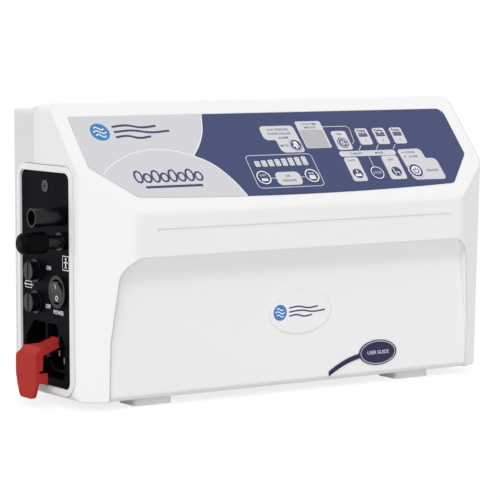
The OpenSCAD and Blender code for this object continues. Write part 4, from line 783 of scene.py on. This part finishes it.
# The sign for an applied part, a figure in a square.
x, v = -33.3, -96.3
line(art, WHITE, 0, 0.75, [p[:2] for p in box_shape(x, v, 8.4, 9.2, 0)], closed=True)
patch(art, WHITE, 0, disc_shape(x, v - 2.7, 0.95))
line(art, WHITE, 0, 1.5, [(x, v - 1.3), (x, v + 1.4)])
for side in (-1, 1):
    line(art, WHITE, 0, 0.8, [(x, v - 1), (x + 2.5 * side, v - 0.2)])
    line(art, WHITE, 0, 0.8, [(x, v + 1.1), (x + 1.1 * side, v + 3.4)])
# A fuse's sign, between the two holders.
x, v = -84.2, -78.2
line(art, WHITE, 0, 0.7, [p[:2] for p in box_shape(x, v, 8.6, 4.2, 0)], closed=True)
line(art, WHITE, 0, 0.7, [(x - 6.2, v), (x + 6.2, v)])
place_print("side_print", art, beside, "casing")

# The switch is off at rest, so its lower face lies level and its upper face leans out.
off_face = beside @ Matrix.Translation((-42.3, 76.39, 1.97))
on_face = off_face @ Matrix.Rotation(radians(14), 4, "X")
art = bmesh.new()
line(art, WHITE, 0, 0.7, ring_points(0, 3.7, 1.4, count=10), "AUTO", closed=True)
place_print("rocker_off_print", art, off_face, "rocker")
art = bmesh.new()
line(art, WHITE, 0, 0.8, [(0, -5.8), (0, -2.8)])
place_print("rocker_on_print", art, on_face, "rocker")


# Lead clip: moulded red polypropylene on a steel pin. It folds down over the lead's
# connector, and its colour tells that it is down.
dress(moulded("polypropylene_moulded_red", "#B4322D", 0.36, 0.9, 0.006, 0.6, 1.5,
              **{"Specular IOR Level": 0.03}), "lead_clip")


# Light, floor and backdrop: a soft key from the front left over an even white room, and a
# pale floor that keeps the pump's shadow.
def looked_at(tree):
    """1 for a ray of the camera, a reflection or a look through glass, and 0 for light."""
    path = put(tree, "LightPath")
    seen = put(tree, "Math", {
        "Value": path.outputs["Is Camera Ray"], "Value_001": path.outputs["Is Glossy Ray"],
    }, operation="MAXIMUM")
    return put(tree, "Math", {
        "Value": seen, "Value_001": path.outputs["Is Transmission Ray"],
    }, operation="MAXIMUM")


world = bpy.data.worlds.new("room")
scene.world = world
world.use_nodes = True
room = world.node_tree
room.nodes.clear()
# The room looks white and lights the pump with two thirds of that.
level = put(room, "MapRange", {"Value": looked_at(room), "To Min": 0.66, "To Max": 1})
put(room, "OutputWorld", {
    "Surface": put(room, "Background", {"Color": (1, 1, 1, 1), "Strength": level}),
})

for name, aim, strength, spread in (
    ("key_light", (54, 0, -42), 1.3, 60), ("back_light", (60, 0, 140), 0.35, 80),
):
    lamp = bpy.data.objects.new(name, bpy.data.lights.new(name, "SUN"))
    lamp.data.energy = strength
    lamp.data.angle = radians(spread)
    lamp.rotation_euler = Euler([radians(a) for a in aim])
    scene.collection.objects.link(lamp)

floor_shape = bmesh.new()
bmesh.ops.create_grid(floor_shape, x_segments=2, y_segments=2, size=6)
floor_mesh = bpy.data.meshes.new("floor")
floor_shape.to_mesh(floor_mesh)
floor_shape.free()
floor = bpy.data.objects.new("floor", floor_mesh)
scene.collection.objects.link(floor)
floor_paper, tree = new_material("paper_sweep")[:2]
seen = looked_at(tree)
# Looked at, the paper glows a little, so that it is white and its shadow is a light one.
lit = put(tree, "Mix", {
    "Factor_Float": seen, "A_Color": colour("#E2E2E2"), "B_Color": colour("#8C8C8C"),
}, data_type="RGBA")
matt = put(tree, "BsdfDiffuse", {"Color": lit})
glow = put(tree, "Emission", {"Color": (1, 1, 1, 1), "Strength": put(tree, "Math", {
    "Value": seen, "Value_001": 0.8,
}, operation="MULTIPLY")})
put(tree, "OutputMaterial", {"Surface": put(tree, "AddShader", {
    "Shader": matt, "Shader_001": glow,
})})
floor_mesh.materials.append(floor_paper)

scene.view_settings.view_transform = "Standard"
